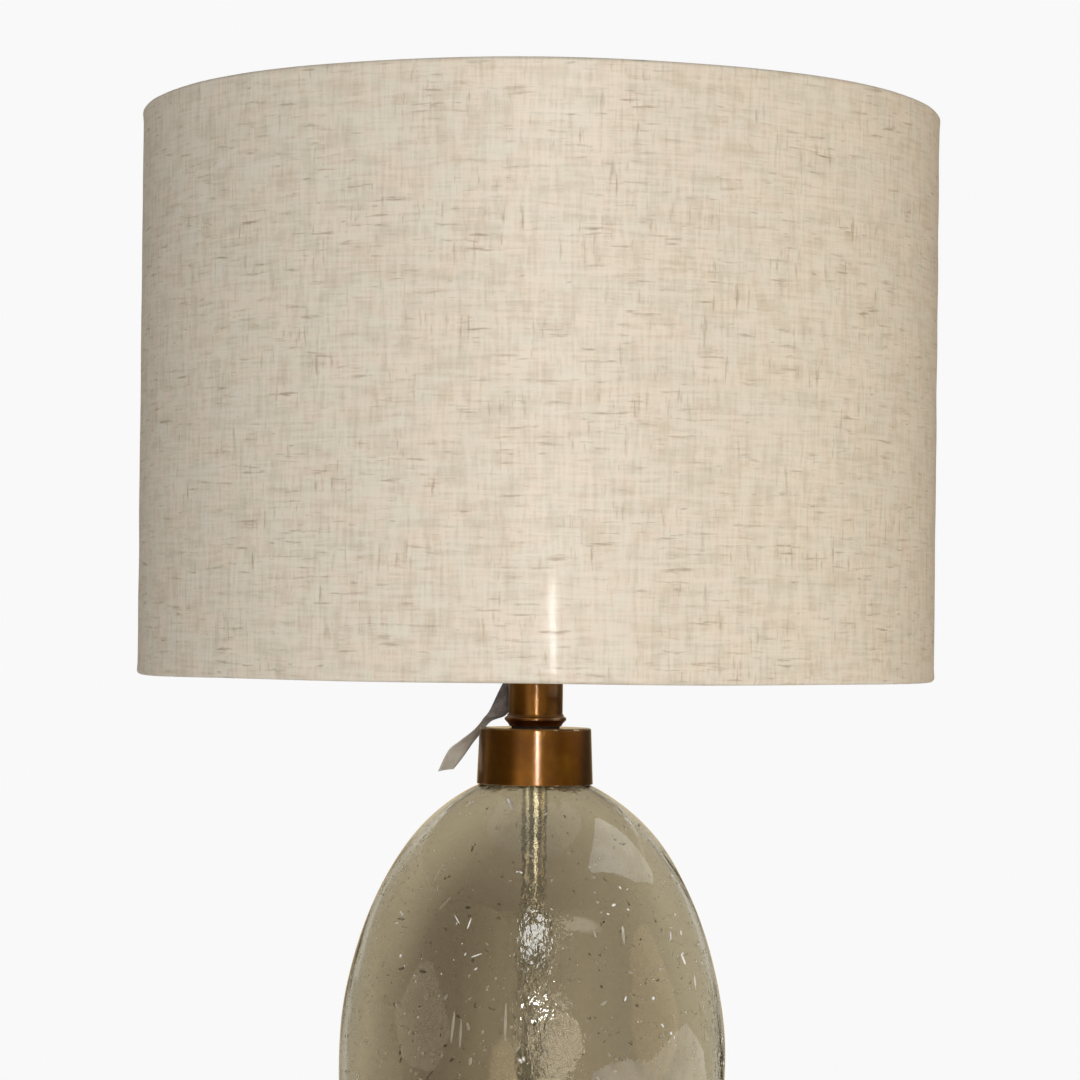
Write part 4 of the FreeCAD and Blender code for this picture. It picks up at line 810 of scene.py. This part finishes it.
def bulb_thread():
    """The bulb's base, with its rolled thread."""
    wall, low, high = 0.4 * MM, BULB_BASE_FOOT, BULB_BASE_TOP
    outer, neck, floor_z = 13.1 * MM, 12.5 * MM, BULB_BASE_FOOT + 2.4 * MM
    depth, pitch = 1.1 * MM, 3.63 * MM
    up = np.linspace(low + 2.6 * MM, high - 2.4 * MM, 64)
    rows = [(0.0, low, 0.0), (10.0 * MM, low, 0.0), (outer - 0.9 * MM, low + 1.9 * MM, 0.0)]
    rows += [(outer, z, 0.0) for z in up]
    rows += [
        (neck, high - 1.2 * MM, 0.0), (neck, high, 0.0), (neck - wall, high, 0.0), (neck - wall, floor_z, 0.0),
        (0.0, floor_z, 0.0),
    ]
    verts, faces, _ = lathe(rows, 96, helix(depth, pitch, up[0], up[-1], outer - 0.01 * MM))
    new_piece("bulb_thread", verts, faces, "bulb", "bulb_aluminium", ["bulb_base"])


# ================================================================ tag
# The loose end's middle line, in millimetres, and which way its width points there. y is from the neck's back
# and z from the cap's top; x is from the lamp's axis where the strip leaves the neck, then from the cap's edge.
TAG_W = 10.0
TAG_T = 0.22
TAG_CUP = 0.35                 # how far the strip's middle stands out of its edges
TAG_BAND_Z = 36.0              # middle of its turn round the neck, from the cap's top
NECK_BACK = Vector((0, NECK_R / MM, CAP_TOP / MM))
CAP_EDGE = NECK_BACK - Vector((CAP_TOP_R / MM, 0, 0))
TAG_LEAVES_NECK = [
    ((-3.0, 0.15, 38.9), (0.89, 0.00, -0.46)),
    ((-13.0, -0.15, 19.5), (0.89, 0.00, -0.46)),
    ((-19.5, -0.75, 7.0), (1.00, 0.05, -0.04)),
]
TAG_OVER_EDGE = [
    ((3.2, -1.35, 2.6), (0.49, 0.87, 0.00)),
    ((-1.8, -1.55, -3.2), (0.36, 0.91, -0.19)),
    ((-7.0, -1.95, -8.2), (0.65, 0.75, -0.13)),
    ((-12.0, -2.35, -13.8), (0.80, 0.53, -0.26)),
    ((-17.4, -2.95, -22.8), (0.76, 0.62, 0.10)),
]


def flowing(knots, count):
    """Points along a smooth curve through the knots (a Catmull-Rom spline)."""
    knots = np.array(knots, float)
    padded = np.vstack([2 * knots[0] - knots[1], knots, 2 * knots[-1] - knots[-2]])
    result = []
    for s in np.linspace(0, len(knots) - 1, count):
        k = min(int(s), len(knots) - 2)
        t = s - k
        p0, p1, p2, p3 = padded[k:k + 4]
        square, cube = 2 * p0 - 5 * p1 + 4 * p2 - p3, 3 * p1 - p0 - 3 * p2 + p3
        result.append((2 * p1 + (p2 - p0) * t + square * t ** 2 + cube * t ** 3) / 2)
    return np.array(result)


def paper_tag():
    """A blank strip stuck round the neck, with a loose end that twists down past the cap."""
    middles = [NECK_BACK + Vector(p) for p, _ in TAG_LEAVES_NECK]
    middles += [CAP_EDGE + Vector(p) for p, _ in TAG_OVER_EDGE]
    ways = [way for _, way in TAG_LEAVES_NECK + TAG_OVER_EDGE]
    count, across = 72, 9
    line, way = flowing(middles, count), flowing(ways, count)
    along = np.gradient(line, axis=0)
    way = way / np.linalg.norm(way, axis=1)[:, None]
    normal = np.cross(way, along)
    normal = normal / np.linalg.norm(normal, axis=1)[:, None]
    shares = np.linspace(-0.5, 0.5, across)
    cup = TAG_CUP * (1 - (2 * shares) ** 2)[None, :, None] * normal[:, None, :]
    face = line[:, None, :] + way[:, None, :] * (shares * TAG_W)[None, :, None] + cup
    half = normal[:, None, :] * TAG_T / 2
    skin = np.concatenate([face + half, (face - half)[:, ::-1]], 1)
    rows = 2 * across
    faces = grid_faces(count, rows, False, True).tolist()
    for end in (list(range(rows))[::-1], [(count - 1) * rows + k for k in range(rows)]):
        faces += end_quads(end, across)
    verts = skin.reshape(-1, 3) * MM
    band_verts, band_faces, _ = lathe(band_rows(), 96)
    faces += (band_faces + len(verts)).tolist()
    new_piece("tag_strip", np.concatenate([verts, band_verts]), faces, "root", "tag_paper", ["paper_tag"])


def band_rows():
    """Outline of the strip's turn round the neck."""
    inner, middle, half = NECK_R + 0.1 * MM, CAP_TOP + TAG_BAND_Z * MM, TAG_W / 2 * MM
    outer, low, high = inner + 0.3 * MM, middle - half, middle + half
    return [(inner, low, 0), (outer, low, 0), (outer, high, 0), (inner, high, 0)]


# ================================================================ foot's felt
def felt():
    """The pad under the foot."""
    low, high = (corner.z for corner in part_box("felt_pad"))
    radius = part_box("felt_pad")[1].x
    piece = turned("felt", [
        (0.0, low, 0), (radius, low, 0.5 * MM), (radius, high, 0.5 * MM), (0.0, high, 0),
    ], "root", "green_felt", ["felt_pad"], 160, dented(41, 0.15 * MM))


# ================================================================ studio
def lamp(name, location, aim, size, radiance, colour=(1, 1, 1), shape="RECTANGLE"):
    """An area lamp that looks at a point."""
    light = bpy.data.lights.new(name, "AREA")
    light.shape = shape
    light.size, light.size_y = size
    light.energy = radiance * math.pi * size[0] * size[1] * (math.pi / 4 if shape == "ELLIPSE" else 1)
    light.color = colour
    made = placed(name, light)
    made.location = location
    made.rotation_euler = (location - aim).to_track_quat("Z", "Y").to_euler()
    return made


def softbox(name, azimuth, elevation, distance, size, radiance, colour=(1, 1, 1), spread=180):
    """A large lamp round the shade; mirror-like surfaces show the room in its place. Azimuth 0 is at the camera
    and 90 to its right; spread narrows its beam.
    """
    a, e = math.radians(azimuth), math.radians(elevation)
    away = Vector((math.sin(a) * math.cos(e), -math.cos(a) * math.cos(e), math.sin(e)))
    made = lamp(name, AIM + away * distance, AIM, size, radiance, colour, "ELLIPSE")
    made.visible_glossy = False
    made.data.spread = math.radians(spread)


def room():
    """The dim room round the lamp, for mirror-like surfaces only."""
    count = 96
    turn = np.arange(count) * FULL_TURN / count
    ring = np.stack([ROOM_R * np.cos(turn), ROOM_R * np.sin(turn)], 1)
    verts = [(x, y, z) for x, y in ring for z in (0.0, CEILING_Z)]
    faces = grid_faces(count, 2, True, False)
    mesh = bpy.data.meshes.new("room")
    mesh.from_pydata(verts, [], faces.tolist())
    f = Finish("room")
    x, y, z = f.parts(f.spot())
    azimuth = f.maths("ARCTAN2", x, f.maths("MULTIPLY", y, -1.0))
    ramp = f.add("ValToRGB", (f.add("MapRange", (azimuth, -math.pi, math.pi, 0.0, 1.0)),))
    stops = ramp.node.color_ramp
    stops.interpolation = "EASE"
    while len(stops.elements) < len(ROOM):
        stops.elements.new(0.5)
    for stop, (degrees, level) in zip(stops.elements, ROOM):
        stop.position = degrees / 360 + 0.5
        stop.color = (level, level, level, 1)
    seen = f.blend(1.0, ramp, ROOM_TINT, "MULTIPLY")
    where = f.add("CombineXYZ", (azimuth, z))
    for degrees, height, half_width, half_height, level, colour in ROOM_LIGHTS:
        off = f.add("VectorMath", (where, (math.radians(degrees), height, 0)), operation="SUBTRACT")
        grow = (1 / math.radians(half_width), 1 / half_height, 0)
        share = f.add("VectorMath", (off, grow), operation="MULTIPLY")
        near = f.spread(f.add("VectorMath", (share,), output=1, operation="LENGTH"), 0.5, 1.1, level, 0.0)
        seen = f.blend(1.0, seen, f.add("VectorMath", (colour[:3], None, None, near), operation="SCALE"), "ADD")
    f.show(f.add("Emission", (seen,)))
    mesh.materials.append(f.material)
    only_mirrored(placed("room", mesh))


def cards():
    """A dim ceiling, and pale cards that leave soft patches on the glass's right side."""
    ring = np.arange(48) * FULL_TURN / 48
    card("ceiling", [(ROOM_R * math.cos(a), ROOM_R * math.sin(a), CEILING_Z) for a in ring], CEILING_GLOW)
    rows = rounded(HIGH_CARD, run=1.0)
    card("high_card", [(x, y, HIGH_CARD_Z) for x, y, _ in rows], HIGH_CARD_GLOW)
    rows = rounded([(math.radians(a) * LOW_CARD_R, z, r) for a, z, r in LOW_CARD], run=0.02)
    turns = [(x / LOW_CARD_R, z) for x, z, _ in rows]
    verts = [(LOW_CARD_R * math.sin(a), -LOW_CARD_R * math.cos(a), z) for a, z in turns]
    card("low_card", verts, LOW_CARD_GLOW)


def card(name, verts, glow):
    """One card, whose glow runs from one level to another with the distance from its first corner."""
    near, away, far = glow
    mesh = bpy.data.meshes.new(name)
    mesh.from_pydata(verts, [], [list(range(len(verts)))])
    work = bmesh.new()
    work.from_mesh(mesh)
    bmesh.ops.triangulate(work, faces=work.faces)
    work.to_mesh(mesh)
    work.free()
    f = Finish(name)
    spot = f.spot()
    off = f.add("VectorMath", (spot, tuple(verts[0])), output=1, operation="DISTANCE")
    cloud = f.spread(f.noise(f.scaled(spot, 22, 22, 22), detail=2.0), 0.35, 0.65, 0.75, 1.15)
    f.show(f.add("Emission", (None, f.maths("MULTIPLY", f.spread(off, 0.0, far, near, away), cloud))))
    mesh.materials.append(f.material)
    only_mirrored(placed(name, mesh))


def only_mirrored(made):
    """A stage piece that only mirror-like surfaces show."""
    for kind in ("camera", "diffuse", "transmission", "volume_scatter", "shadow"):
        setattr(made, "visible_" + kind, False)


def pale_for_looks(nodes, plain, glow, share):
    """Mixes a glow over a plain shader, by this share, for the rays that the eye, metal and glass see."""
    path = nodes.add("LightPath").node.outputs
    mirrored = nodes.maths("ADD", path["Is Glossy Ray"], path["Is Transmission Ray"])
    seen = nodes.maths("ADD", path["Is Camera Ray"], mirrored)
    weight = nodes.add("Math", (seen, share), operation="MULTIPLY", use_clamp=True)
    return nodes.add("MixShader", (weight, plain, glow))


def world():
    """Pale where it is seen, and a soft even light for the rest."""
    made = bpy.data.worlds.new("studio")
    made.use_nodes = True
    nodes = Nodes(made.node_tree)
    plain = nodes.tree.nodes["Background"]
    nodes.join(PALE, plain.inputs[0])
    nodes.join(AMBIENT, plain.inputs[1])
    shown = pale_for_looks(nodes, plain.outputs[0], nodes.add("Background", (PALE,)), 1.0)
    nodes.join(shown, nodes.tree.nodes["World Output"].inputs[0])
    bpy.context.scene.world = made


def floor():
    """A pale floor that keeps the shadow and fades into the background."""
    mesh = bpy.data.meshes.new("floor")
    work = bmesh.new()
    bmesh.ops.create_circle(work, cap_ends=True, segments=96, radius=FLOOR_R)
    work.to_mesh(mesh)
    work.free()
    f = Finish("floor")
    far = f.add("VectorMath", (f.spot(),), output=1, operation="LENGTH")
    share = f.add("MapRange", (far, *FLOOR_FADE, FLOOR_GLOW, 1.0))
    f.show(pale_for_looks(f, f.add("BsdfDiffuse", (FLOOR_TONE,)), f.add("Emission", (PALE,)), share))
    mesh.materials.append(f.material)
    placed("floor", mesh)


def camera():
    """The photograph's camera."""
    data = bpy.data.cameras.new("camera")
    data.sensor_width = SENSOR
    data.lens = FOCAL_PX / PHOTO_PX * SENSOR
    data.shift_x = (PHOTO_PX / 2 - PRINCIPAL_PX[0]) / PHOTO_PX
    data.shift_y = (PRINCIPAL_PX[1] - PHOTO_PX / 2) / PHOTO_PX
    eye = placed("camera", data)
    eye.location = (0, -CAMERA_DISTANCE, SHADE_BOTTOM + CAMERA_ABOVE_SHADE_BOTTOM)
    level = Matrix.Rotation(math.radians(90 - CAMERA_PITCH), 3, "X")
    eye.rotation_euler = (level @ Matrix.Rotation(math.radians(CAMERA_ROLL), 3, "Z")).to_euler()
    bpy.context.scene.camera = eye


def studio():
    """Camera, background and lights."""
    camera()
    world()
    floor()
    room()
    cards()
    softbox("key", 13, 1, 1.9, (1.2, 0.76), 3.05, (1.0, 0.985, 0.965), spread=120)
    softbox("warm", 82, 8, 1.9, (1.0, 1.2), 1.9, (1.0, 0.76, 0.46))
    softbox("fill", -70, 1, 2.0, (1.3, 0.8), 1.12, (1.0, 0.98, 0.94), spread=120)
    softbox("back", 170, 40, 2.0, (1.4, 1.0), 1.6)
    lamp("flash", FLASH, FLASH_AIM, FLASH_SIZE, FLASH_RADIANCE)


def main():
    studio()
    make_finishes()
    shade_cloth()
    glass_body()
    brass_pieces()
    finial()
    bulb_thread()
    paper_tag()
    felt()
    bpy.context.scene.view_settings.view_transform = "Standard"


main()
